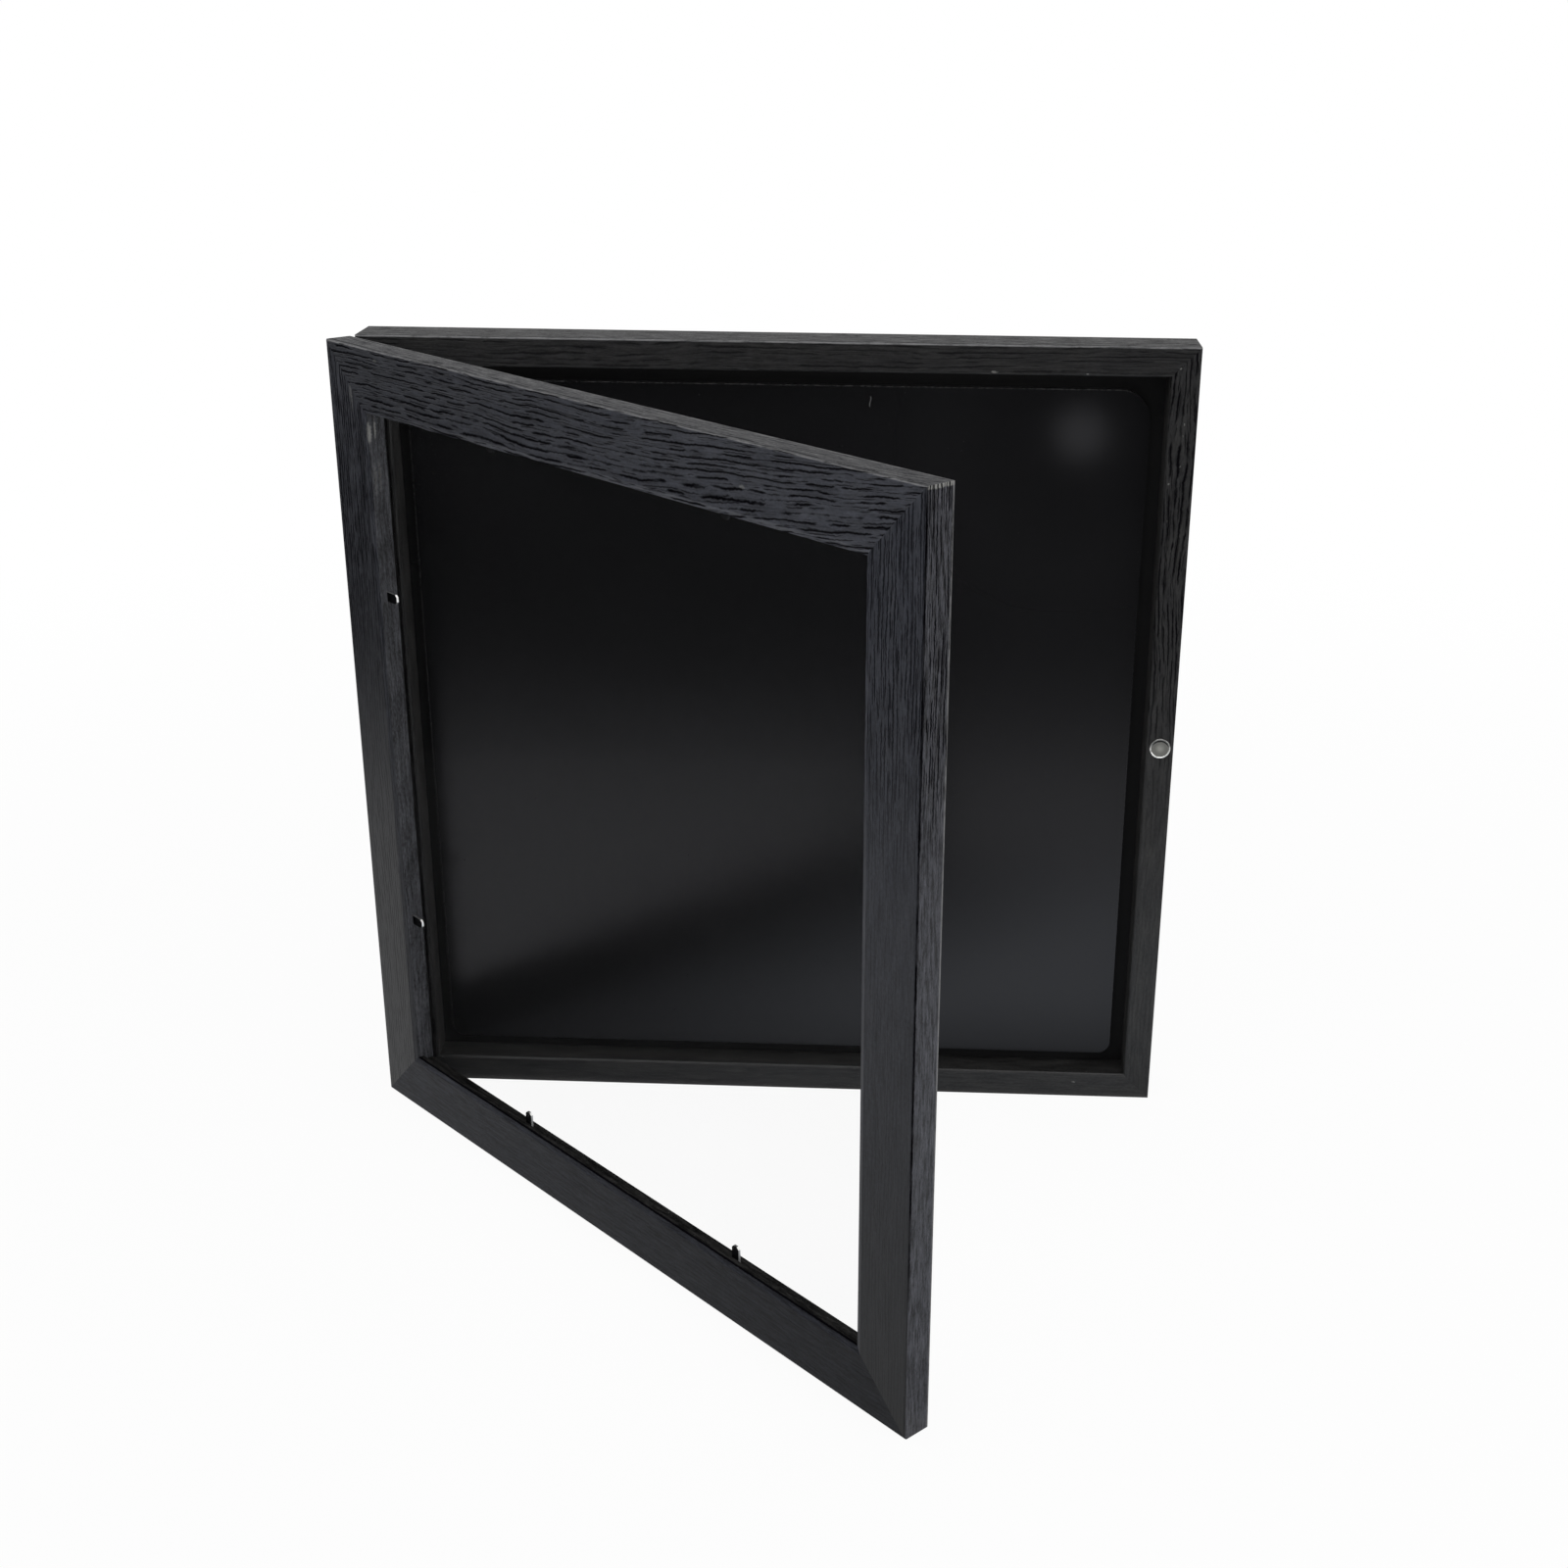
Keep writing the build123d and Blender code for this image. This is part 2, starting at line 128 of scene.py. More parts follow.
# The rows of pores: how far apart, the dashes' length and half width, the seed, and the value of the
# noise from which a dash shows.
Rows = namedtuple("Rows", "pitch length half_width seed least")
BOLD_ROWS = Rows(2.1, 17.0, 0.66, 13.0, 0.40)
MIDDLE_ROWS = Rows(1.3, 10.0, 0.38, 19.0, 0.44)
THIN_ROWS = Rows(0.8, 8.0, 0.24, 29.0, 0.44)
MIDDLE_ROWS_SHIFT = 0.5
ROW_WOBBLE, WOBBLE_LENGTH, WOBBLE_SPREAD = 0.6, 7.0, 5.3
DASH_SPREAD, DASH_SEED, DASH_FADE, DASH_CORE = 3.7, 3.0, 0.12, 0.1
# How wavy the grain runs, and how closely its rows lie, where a rail differs from the rest.
WAVES = {("door", "right"): 0.45, ("door", "left"): 0.6, ("box", "bottom"): 0.6}
ROW_SCALE = {("door", "right"): 0.78, ("door", "left"): 0.8}
# From where along a rail its rows turn inwards, and how sharply.
INWARD_TURN = {("door", "top"): (150.0, 0.0005)}
# The noises in the film: their sizes along and across the rail, seed, detail and roughness.
Noise = namedtuple("Noise", "along across seed detail roughness", defaults=(1.0, 0.0, 2.0, 0.5))
SWAY = Noise(90.0, 22.0, 0.0, 1.0)
RIPPLE = Noise(24.0, 7.0, 5.0)
RAG = Noise(1.3, 1.6, 9.0)
CROWD = Noise(55.0, 6.0, 23.0)
CLOUD = Noise(22.0, 6.0, 31.0, 3.0, 0.6)
STREAK = Noise(11.0, 1.3, 41.0, 4.0, 0.72)
MOTTLE = Noise(1.5, 0.9, 47.0)
RIM_PATCH = Noise(9.0, 1.0, 51.0, 3.0, 0.7)
LINE_BREAKS = Noise(14.0, 1.0, 61.0)
ARRIS_LINE_BREAKS = Noise(18.0, 1.0, 67.0)
RAIL_SEED_STEP = 37.0
# How far the sway, the ripple and the ragged edge move a row.
SWAY_REACH, RIPPLE_REACH, RAG_REACH = 9.0, 1.8, 0.6
# How slowly the painted light and shade first change along a rail, where they aren't even.
SHADE_BEND = {("door", "left"): 2.5}
# How far the outer faces are made darker with painted shade.
SHADE_VEIL = {"top": 0.9}
# How strong a rail's sheen is where it differs from the rest.
GLOSS = {("door", "bottom"): 0.3, ("door", "right"): 0.7}
# How strong a rail's streaks are, and on top of that on its outer side.
STREAKS = {("door", "bottom"): 4.0, ("door", "left"): 2.6, ("box", "top"): 3.0, ("box", "right"): 2.4}
OTHER_STREAKS, SIDE_STREAKS = 2.0, 4.2
# How strong the clouds and the mottling are, and the mottling on top of that on the outer side, then
# the least light on the film and on the bare walls, and the painted highlight on the door's bevel.
CLOUDS, MOTTLES, SIDE_MOTTLES = 1.3, 0.9, 0.8
LEAST_LIGHT, LEAST_WALL_LIGHT, BEVEL_HIGHLIGHT = 0.3, 0.15, 0.5
# Painted light and shade on a rail's bare walls, and how far they take the plain colour, where they differ.
WALL_SHADE = {("door", "bottom"): 0.55, ("door", "left"): 1.7, ("box", "bottom"): 0.6}
BARE = {("door", "left"): 0.45}
# How far the outer side of the door takes the colour of the box.
SIDE_TINT = 0.6
# Scuffs on a rail: along it, in from its outer edge over the front and down the inner wall, their half
# sizes, and their strength.
SCUFFS = {
    ("door", "top"): ((249.2, 14.4, 1.6, 0.5, 0.6), (35.4, 3.8, 1.6, 0.7, 0.5)),
    ("door", "left"): (
        (297.5, 26.2, 4.6, 1.3, 0.8), (279.0, 27.6, 7.5, 0.7, 0.2), (312.0, 16.0, 9.0, 1.0, 0.4),
    ),
    ("box", "top"): ((250.4, 10.6, 1.5, 0.5, 1.0), (286.5, 10.9, 0.6, 0.3, 0.7)),
    ("box", "bottom"): ((5.6, 8.2, 1.2, 1.2, 0.8), (296.6, 7.1, 1.0, 0.5, 0.5)),
    ("box", "right"): (
        (322.2, 7.9, 0.5, 0.8, 0.7), (300.5, 5.0, 0.6, 0.3, 0.7), (296.0, 5.2, 0.5, 0.3, 0.6),
        (284.0, 5.6, 0.6, 0.3, 0.6), (277.0, 9.6, 0.5, 0.3, 0.6), (262.0, 9.2, 0.6, 0.3, 0.5),
    ),
}
# Where along a rail the rubbed end of its outer side starts and is full.
RUBBED_END = {("door", "right"): (328.7, 329.2)}
# How dark the line on the rounded outer front edge is, and the line behind that edge.
ARRIS_LINE = {"right": 1.0}
BACK_LINE = {"top": 0.9}
# How far back from the front that line and the painted shade line down the inner wall lie.
BACK_LINE_DEPTH = 1.6
WALL_LINE = {("door", "bottom"): 1.3}
# Where along a rail the line on the outer front edge starts and is full.
ARRIS_LINE_START = (40.0, 80.0)

# The boards and the metals

# The display board's corner radii in mm, then in X and Z where the pale mark and the glossy spot lie; the
# face is painted paler round the spot, a painted highlight.
TOP_CORNER, BOTTOM_CORNER = 12.0, 5.5
THREAD_PLACE = (0.0368, 0.3055)
GLOSSY_HIGHLIGHT_PLACE = (0.1207, 0.294)
# The colours of the metals and of the lacquers.
NICKEL, ZINC, STEEL = (0.62, 0.60, 0.56), (0.45, 0.45, 0.46), (0.012, 0.012, 0.014)
LACQUER, RUBBED = (0.02, 0.02, 0.021), (0.05, 0.05, 0.053)
# The noises in all of these: scale, detail and roughness.
BOARD_GRAIN = (2200.0, 2.0)
BOARD_SPECK = (900.0, 3.0)
BOARD_CLOUD = (14.0, 3.0)
BOARD_DUST = (640.0, 2.0)
PANEL_FIBRE = (700.0, 4.0, 0.65)
PANEL_CLOUD = (30.0, 3.0)
PANEL_SCRATCH = (1.0, 4.0, 0.7)
PANE_SMEAR = (9.0, 3.0, 0.55)
METAL_RUB = (1500.0, 3.0, 0.6)
METAL_PATCH = (180.0, 3.0)
MAGNET_PATCH = (650.0, 4.0, 0.6)
CARD_PATCH = (3.0,)
# How high in mm the cut edges of the glazing points turn from bare below to black painted shade above.
POINT_SHADE_HEIGHTS = (290.0, 280.0)

# The studio, in metres

WHITE = (1.0, 1.0, 1.0, 1.0)
FLOOR_SIZE = 400.0
FLOOR_MIDDLE = (0.0, -0.1)
# How far from it, in mm, the floor starts to turn plain white and is so.
WHITE_FLOOR = (300.0, 1200.0)
# Place, aim and size of each lamp.
OVERHEAD_LAMP = ((0.0, -0.25, 1.8), (0.0, 0.0, 0.15), 1.6)
RIGHT_LAMP = ((1.2, -0.75, 0.55), (0.08, -0.25, 0.15), 0.6)
DISC_LAMP = ((0.163, -0.603, 0.172), (0.1207, -0.001, 0.294), 0.032)
# Place and size of each dark card, a painted reflection, and where in Y, in mm, the front one fades to
# glowing white and ends.
FRONT_CARD = ((0.0, -2.36, 0.001), (3.0, 4.0, 1.0))
LEFT_CARD = ((-2.1, 0.8, 0.001), (3.0, 2.32, 1.0))
CARD_FADE, CARD_END = (-580.0, -350.0), (-350.0, -355.0)
# The card of painted shadow between the open door and the box: its middle from the hinge, height and size.
WEDGE_MIDDLE, WEDGE_HEIGHT, WEDGE_SIZE = (0.24, 0.25, 0.0), 0.0015, (0.48, 0.5, 1.0)
# How bright it is at the door, how much brighter per mm, how far and where in Y its painted shadow near
# the box makes it darker, its light, and where in Y it fades in and ends.
WEDGE_LEAST, WEDGE_RISE, WEDGE_BOX_SHADOW, WEDGE_BOX_SHADOW_SPAN = 0.12, 0.0076, 0.5, (-100.0, -12.0)
WEDGE_COLOUR, WEDGE_STRENGTH = (0.92, 0.96, 1.0, 1.0), 1.42
WEDGE_FADE, WEDGE_END = (-330.0, -180.0), (-11.0, -13.0)
CAMERA_PLACE = (0.06206, -0.83682, 0.46415)
CAMERA_FORWARD = (-0.03721305, 0.91975478, -0.39072539)
CAMERA_UP = (-0.0245481, 0.39003686, 0.92047197)
CAMERA_SENSOR, CAMERA_LENS = 36.0, 48.115
CAMERA_SHIFT = (-0.03876, 0.04639)
CAMERA_CLIP = (0.01, 100.0)


# Shader maths


def sum_of(operation, swapped=False):
    """A Python operator that adds a maths node."""

    def work_out(self, other=0.0):
        first, second = (other, self) if swapped else (self, other)
        return self.shader.maths(operation, first, second)

    return work_out


class Value:
    """A shader socket that takes part in Python sums."""

    def __init__(self, shader, socket):
        self.shader = shader
        self.socket = socket

    __add__, __radd__ = sum_of("ADD"), sum_of("ADD", True)
    __sub__, __rsub__ = sum_of("SUBTRACT"), sum_of("SUBTRACT", True)
    __mul__, __rmul__ = sum_of("MULTIPLY"), sum_of("MULTIPLY", True)
    __truediv__, __pow__, __abs__ = sum_of("DIVIDE"), sum_of("POWER"), sum_of("ABSOLUTE")


class Shader:
    """A new material, or the world, whose nodes are added one at a time."""

    def __init__(self, name, made=None):
        self.made = bpy.data.materials.new(name) if made is None else made
        self.made.use_nodes = True
        self.tree = self.made.node_tree
        self.tree.nodes.clear()
        self.points = None

    def node(self, kind, settings=None, inputs=None, output=0):
        added = self.tree.nodes.new(kind)
        for name, value in (settings or {}).items():
            setattr(added, name, value)
        for name, value in (inputs or {}).items():
            if isinstance(value, Value):
                self.tree.links.new(value.socket, added.inputs[name])
            else:
                added.inputs[name].default_value = value
        return Value(self, added.outputs[output])

    def maths(self, operation, first, second=0.0):
        return self.node("ShaderNodeMath", {"operation": operation}, {0: first, 1: second})

    def smooth(self, value, low, high):
        """0 below low, 1 above high and a smooth step between them."""
        settings = {"interpolation_type": "SMOOTHSTEP"}
        inputs = {"Value": value, "From Min": low, "From Max": high}
        return self.node("ShaderNodeMapRange", settings, inputs)

    def larger(self, first, second):
        return self.maths("MAXIMUM", first, second)

    def smaller(self, first, second):
        return self.maths("MINIMUM", first, second)

    def place(self):
        """The object's own coordinates."""
        if self.points is None:
            self.points = self.node("ShaderNodeTexCoord", output="Object")
        return self.points

    def along(self, axis):
        """The distance in mm along an axis given as a direction and an offset in metres."""
        direction, offset = axis
        inputs = {0: self.place(), 1: tuple(direction / MM)}
        measure = self.node("ShaderNodeVectorMath", {"operation": "DOT_PRODUCT"}, inputs, "Value")
        return measure + offset / MM

    def x(self, start=0.0):
        """The distance in mm along X from a start in metres."""
        return self.along((X_AXIS, -start))

    def y(self, start=0.0):
        return self.along((Y_AXIS, -start))

    def z(self, start=0.0):
        return self.along((Z_AXIS, -start))

    def far(self, first, second):
        """The distance that two square steps make up."""
        return (first * first + second * second) ** 0.5

    def vector(self, x, y, z):
        return self.node("ShaderNodeCombineXYZ", None, {"X": x, "Y": y, "Z": z})

    def noise(self, vector, scale=1.0, detail=2.0, roughness=0.5):
        inputs = {"Vector": vector, "Scale": scale, "Detail": detail, "Roughness": roughness}
        return self.node("ShaderNodeTexNoise", None, inputs)

    def speckle(self, kind):
        """A noise over the object, of a scale, detail and roughness."""
        return self.noise(self.place(), *kind)

    def mix(self, factor, first, second):
        settings = {"data_type": "RGBA", "clamp_factor": True}
        return self.node("ShaderNodeMix", settings, {0: factor, 6: first, 7: second}, 2)

    def bump(self, height, depth_mm):
        inputs = {"Height": height, "Distance": depth_mm * MM, "Strength": 1.0}
        return self.node("ShaderNodeBump", None, inputs)

    def principled(self, **inputs):
        named = {name.replace("_", " "): value for name, value in inputs.items()}
        return self.node("ShaderNodeBsdfPrincipled", None, named)

    def painted(self, **inputs):
        return self.finish(self.principled(**inputs))

    def matt(self, tint):
        return self.node("ShaderNodeBsdfDiffuse", None, {"Color": tint})

    def glow(self, tint=WHITE, strength=1.0):
        return self.node("ShaderNodeEmission", None, {"Color": tint, "Strength": strength})

    def mix_shader(self, factor, first, second):
        return self.node("ShaderNodeMixShader", None, {0: factor, 1: first, 2: second})

    def finish(self, surface, kind="ShaderNodeOutputMaterial"):
        output = self.tree.nodes.new(kind)
        self.tree.links.new(surface.socket, output.inputs["Surface"])
        return self.made


def colour(values, shade=1.0):
    return (values[0] * shade, values[1] * shade, values[2] * shade, 1.0)


def dress(node, material):
    mesh = frame["nodes"][node].data
    mesh.materials.clear()
    mesh.materials.append(material)


def pick(*pieces):
    """Select these pieces alone, with the first of them active."""
    bpy.ops.object.select_all(action="DESELECT")
    for piece in pieces:
        piece.select_set(True)
    if pieces:
        bpy.context.view_layer.objects.active = pieces[0]


# Places


def rail_axes(body, side):
    """The directions along a rail, in from its outer edge and back from its front, each with an offset."""
    if body == "door":
        turn = Matrix.Rotation(-DOOR_ANGLE, 3, "Z")
        across = turn @ X_AXIS
        back = turn @ Y_AXIS
        across_offset = HINGE_AXIS.x - HINGE_AXIS.dot(across)
        back_offset = HINGE_AXIS.y - HINGE_AXIS.dot(back)
        front = DOOR_FRONT
    else:
        across, back = X_AXIS, Y_AXIS
        across_offset = back_offset = 0.0
        front = BOX_FRONT
    across_offset += FRAME_WIDTH / 2
    depth = (back, back_offset - front)
    if side == "bottom":
        return (across, across_offset), (Z_AXIS, 0.0), depth
    if side == "top":
        return (across, across_offset), (-Z_AXIS, FRAME_HEIGHT), depth
    if side == "left":
        return (Z_AXIS, 0.0), (across, across_offset), depth
    return (Z_AXIS, 0.0), (-across, FRAME_WIDTH - across_offset), depth


def box_place(x, y, z):
    """The place of a piece whose top faces forward on the box."""
    return Matrix.Translation((x, y, z)) @ Matrix.Rotation(math.pi / 2, 4, "X")


def door_place(run, depth, height):
    """The place of a piece whose top faces the box, on the back of the open door."""
    turn = Matrix.Rotation(-DOOR_ANGLE, 4, "Z")
    closed = Vector((run - FRAME_WIDTH / 2, DOOR_FRONT + depth, height))
    hinge = Vector((HINGE_AXIS.x, HINGE_AXIS.y, 0))
    point = hinge + turn @ (closed - hinge)
    return Matrix.Translation(point) @ turn @ Matrix.Rotation(-math.pi / 2, 4, "X")


# Settings


SHARE = {"subtype": "FACTOR", "min": 0.0, "max": 1.0}
POWER = {"unit": "POWER"}
LENGTH = {"unit": "LENGTH", "precision": 5}


def setting(name, description, default, kind):
    return bpy.props.FloatProperty(name=name, description=description, default=default, **kind)


def paint(name, what, default):
    return bpy.props.FloatVectorProperty(
        name=name, description=f"Colour of {what}", default=default, subtype="COLOR", min=0.0, max=1.0
    )


class FilmSettings(bpy.types.PropertyGroup):
    """The charcoal wood-grain film on the rails."""

    colour: paint("Film colour", "the door's film between the pores", (0.0173, 0.0190, 0.0262))
    warm_colour: paint("Warm film colour", "the door's warmer patches", (0.0200, 0.0208, 0.0240))
    box_colour: paint("Box film colour", "the box's film between the pores", (0.0188, 0.0187, 0.0212))
    box_warm_colour: paint("Warm box film colour", "the box's warmer patches", (0.0205, 0.0203, 0.0190))
    # Worn film, and a painted highlight, along the edges.
    worn_and_highlight_colour: paint("Worn colour", "the film rubbed along its edges", (0.2, 0.2, 0.205))
    scuff_colour: paint("Scuff colour", "the pale scuffs", (0.26, 0.26, 0.25))
    plain_colour: paint("Plain colour", "the bare inner walls and the back", (0.016, 0.0156, 0.0152))
    pore_colour: paint("Pore colour", "the pressed-in pores", (0.0024, 0.0022, 0.0032))
    roughness: setting("Roughness", "Roughness of the smooth film", 0.42, SHARE)
    gloss: setting("Gloss", "Strength of the film's sheen", 0.25, SHARE)
    pore_depth: setting("Pore depth", "How deep the pores are pressed", 0.00012, LENGTH)


class BoardSettings(bpy.types.PropertyGroup):
    """The black display board and the back panel."""

    colour: paint("Board colour", "the display board", (0.0054, 0.0054, 0.0059))
    edge_colour: paint("Cut edge colour", "the board's cut edge", (0.03, 0.03, 0.03))
    thread_colour: paint("Mark colour", "the pale mark", (0.13, 0.13, 0.13))
    panel_colour: paint("Panel colour", "the back panel", (0.012, 0.0115, 0.0108))
    roughness: setting("Roughness", "Roughness of the display board", 0.2, SHARE)


class StudioSettings(bpy.types.PropertyGroup):
    """The floor and the lamps."""

    floor_colour: paint("Floor colour", "the floor", (0.86, 0.86, 0.86))
    floor_glow: setting("Floor glow", "How far the seen floor is lifted to white", 0.94, SHARE)
    lamp_power: setting("Lamp power", "Power of the overhead soft lamp", 18.0, POWER)
    side_power: setting("Side lamp power", "Power of the soft lamp on the right", 4.0, POWER)
    disc_power: setting("Disc lamp power", "Power of the small round lamp in front", 0.0035, POWER)
    fill: setting("Fill", "Strength of the light from all round", 0.34, SHARE)


class PieceOperator(bpy.types.Operator):
    """Base of the operators."""

    bl_options = {"REGISTER", "UNDO"}


class RailFilm(Shader):
    """The film on one rail, with the distances in mm that its patterns follow."""

    def __init__(self, look, body, side, number):
        super().__init__(f"{body}_{side}_film")
        self.look, self.body, self.side, self.rail = look, body, side, (body, side)
        self.shift = RAIL_SEED_STEP * number
        self.run, self.inset, self.depth = [self.along(axis) for axis in rail_axes(body, side)]
        self.width = (DOOR_RAIL_WIDTH if body == "door" else BOX_RAIL_WIDTH) / MM
        self.thickness = (DOOR_THICKNESS if body == "door" else BOX_BACK - BOX_FRONT) / MM
        # On the inner half of the rail, on its outer side, and on its bare walls and back.
        self.inner = self.maths("GREATER_THAN", self.inset, self.width / 2)
        self.on_side = self.smooth(self.depth - self.inset, -0.2, 0.2) * (1.0 - self.inner)
        back = self.smooth(self.depth, self.thickness - 0.7, self.thickness - 0.3)
        self.plain = self.larger(self.smooth(self.depth, 0.8, 1.0) * self.inner, back)
        # How far the film's surface runs over the front from the outer edge.
        self.across = self.inset + self.depth * (self.inner * 2.0 - 1.0)
        self.rag = self.patchy(RAG, self.across) - 0.5
        self.line = self.grain_line()
        self.cloud = self.patchy(CLOUD, self.across)
        self.streak = self.patchy(STREAK, self.line)
        self.mottle = self.patchy(MOTTLE, self.across) - 0.5

    def patchy(self, kind, across=0.0):
        place = self.vector(self.run / kind.along, across / kind.across, self.shift + kind.seed)
        return self.noise(place, detail=kind.detail, roughness=kind.roughness)

    def grain_line(self):
        """The distance across the rail that the rows of grain follow, which sways and ripples."""
        sway = self.patchy(SWAY, self.across) - 0.5
        ripple = self.patchy(RIPPLE, self.across) - 0.5
        waves = WAVES.get(self.rail, 1.0)
        line = self.across + sway * (SWAY_REACH * waves) + ripple * (RIPPLE_REACH * waves)
        line = line + self.rag * RAG_REACH
        if self.rail in INWARD_TURN:
            start, sharpness = INWARD_TURN[self.rail]
            past = self.larger(self.run - start, 0.0)
            line = line + past * past * sharpness
        return line * (1.0 / ROW_SCALE.get(self.rail, 1.0))

    def material(self):
        look = self.look
        pores, dark_lines = self.pores(), self.dark_lines()
        scaled = {0: self.film_colour(), "Scale": self.light()}
        shown = self.node("ShaderNodeVectorMath", {"operation": "SCALE"}, scaled)
        shown = self.mix(self.worn_and_highlit_rim(), shown, colour(look.worn_and_highlight_colour))
        shown = self.mix(self.scuffed(), shown, colour(look.scuff_colour))
        height = self.streak * (0.15 + self.on_side * 0.3) + self.mottle * 0.1 - pores - dark_lines
        normal = self.bump(height, look.pore_depth / MM)
        film = self.principled(
            Base_Color=shown,
            Roughness=look.roughness + self.streak * 0.2 - 0.1 + self.plain * 0.2,
            Specular_IOR_Level=look.gloss * GLOSS.get(self.rail, 1.0),
            Normal=normal,
        )
        dark = self.principled(
            Base_Color=colour(look.pore_colour), Roughness=0.8, Specular_IOR_Level=0.0, IOR=1.0, Normal=normal
        )
        return self.finish(self.mix_shader(self.larger(pores, dark_lines), film, dark))

    def pores(self):
        """How far the film is pressed in and dark: rows of pores, and flecks and painted shade on the side.
        """
        front, side = RAILS[self.rail][:2]
        front_reach, side_reach = self.reach(front), self.reach(side)
        bold, middle, thin = [
            front_reach * at_front + (side_reach * at_side - front_reach * at_front) * self.on_side
            for at_front, at_side in zip(front[:3], side[:3])
        ]
        cover = front.cover + self.on_side * (side.cover - front.cover)
        crowd = self.smooth(self.patchy(CROWD, self.line) + cover * 0.4, 0.58, 0.70)
        pores = self.pore_rows(self.line, BOLD_ROWS) * crowd * bold
        pores = self.larger(pores, self.pore_rows(self.line + MIDDLE_ROWS_SHIFT, MIDDLE_ROWS) * middle)
        pores = self.larger(pores, self.pore_rows(self.line, THIN_ROWS) * thin)
        darkened = self.smooth(self.mottle, 0.06, 0.22) * 0.35
        # Painted shade: a patchy darkening of the top face of the top rails.
        if self.side in SHADE_VEIL:
            shade_veil = (self.streak - 0.5) * 2.4 + self.mottle * 0.8 + self.cloud * 0.4 + 0.3
            darkened = self.larger(darkened, shade_veil * SHADE_VEIL[self.side])
        return self.larger(pores, darkened * self.on_side) * (1.0 - self.plain)

    def reach(self, grain):
        """The share of the grain's strength along the rail."""
        if grain.least == 1.0:
            return 1.0
        return self.smooth(self.run, grain.start, grain.full) * (1.0 - grain.least) + grain.least

    def pore_rows(self, line, rows):
        """Dashes with tapered ends, in rows."""
        seed = self.shift + rows.seed
        place = line / rows.pitch
        row = self.maths("FLOOR", place)
        wobble = self.noise(self.vector(self.run / WOBBLE_LENGTH, row * WOBBLE_SPREAD, seed)) - 0.5
        off = abs(place - row - 0.5 + wobble * ROW_WOBBLE)
        shown = self.noise(self.vector(self.run / rows.length, row * DASH_SPREAD, seed + DASH_SEED))
        shown = self.smooth(shown, rows.least, rows.least + DASH_FADE)
        reach = shown * (rows.half_width * (1.0 / rows.pitch))
        return self.smooth(off, reach, reach * DASH_CORE) * shown

    def dark_lines(self):
        """Dark lines on the rounded outer front edge and behind it, and painted shade down the inner wall."""
        dark_lines = 0.0
        if self.side in ARRIS_LINE:
            turned = abs(self.inset - self.depth + self.rag * 0.5)
            near_arris = self.smooth(self.inset + self.depth, 1.6, 1.3)
            arris_line = self.smooth(turned, 0.55, 0.3) * near_arris * ARRIS_LINE[self.side]
            broken = self.smooth(self.patchy(ARRIS_LINE_BREAKS), 0.35, 0.55) * 0.5 + 0.5
            arris_line = arris_line * self.smooth(self.run, *ARRIS_LINE_START) * broken
            dark_lines = self.larger(dark_lines, arris_line * (1.0 - self.plain))
        if self.side in BACK_LINE:
            off = abs(self.depth - BACK_LINE_DEPTH + self.rag * 0.4)
            behind = self.smooth(off, 0.34, 0.2) * self.on_side * BACK_LINE[self.side]
            behind = behind * self.smooth(self.patchy(LINE_BREAKS), 0.4, 0.5)
            dark_lines = self.larger(dark_lines, behind * (1.0 - self.plain))
        # Painted shade: a dark line down the inner wall at the hidden step behind the lip.
        if self.rail in WALL_LINE:
            off = abs(self.depth - WALL_LINE[self.rail] + self.rag * 0.6)
            dark_lines = self.larger(dark_lines, self.smooth(off, 0.75, 0.3) * self.inner)
        return dark_lines

    def film_colour(self):
        """The film's colour before it is made paler or darker."""
        look = self.look
        if self.body == "door":
            tint = self.mix(self.cloud, colour(look.colour), colour(look.warm_colour))
            tint = self.mix(self.on_side * SIDE_TINT, tint, colour(look.box_colour))
        else:
            tint = self.mix(self.cloud, colour(look.box_colour), colour(look.box_warm_colour))
        return self.mix(self.plain * BARE.get(self.rail, 1.0), tint, colour(look.plain_colour))

    def light(self):
        """How pale the film is: its clouds, streaks and mottling, times the rail's painted light and shade.
        """
        streaks = self.on_side * SIDE_STREAKS + STREAKS.get(self.rail, OTHER_STREAKS)
        cast = 1.0 + (self.cloud - 0.5) * CLOUDS + (self.streak - 0.5) * streaks
        cast = cast + self.mottle * (self.on_side * SIDE_MOTTLES + MOTTLES)
        low_shade, high_shade, side_shade = RAILS[self.rail].shades
        share = self.run * (MM / FRAME_WIDTH)
        if self.rail in SHADE_BEND:
            share = self.larger(share, 0.0) ** SHADE_BEND[self.rail]
        shade = share * (high_shade - low_shade) + low_shade
        shade = shade + self.on_side * (side_shade - shade)
        if self.body == "door":
            # A painted highlight along the door's inner bevel.
            bevel = self.smooth(self.inset, self.width - 2.2, self.width - 1.8)
            shade = shade + bevel * (1.0 - self.plain) * BEVEL_HIGHLIGHT
        light = self.larger(cast, LEAST_LIGHT) * shade
        # Painted light and shade on the bare walls.
        walls = self.larger(cast * 2.4 - 1.4, LEAST_WALL_LIGHT) * WALL_SHADE.get(self.rail, 1.0)
        return light + self.plain * (walls - light)

    def worn_and_highlit_rim(self):
        """How far the film is worn along the outer front and back edges, with a painted highlight there."""
        front_wear_and_highlight, back_wear_and_highlight = WEAR_AND_HIGHLIGHT[self.side]
        front = self.smooth(self.inset + self.depth, 0.75, 0.5) * front_wear_and_highlight
        back = self.smooth(self.inset - self.depth + self.thickness, 1.1, 0.6) * back_wear_and_highlight
        return self.larger(front, back) * self.smooth(self.patchy(RIM_PATCH), 0.2, 0.55)

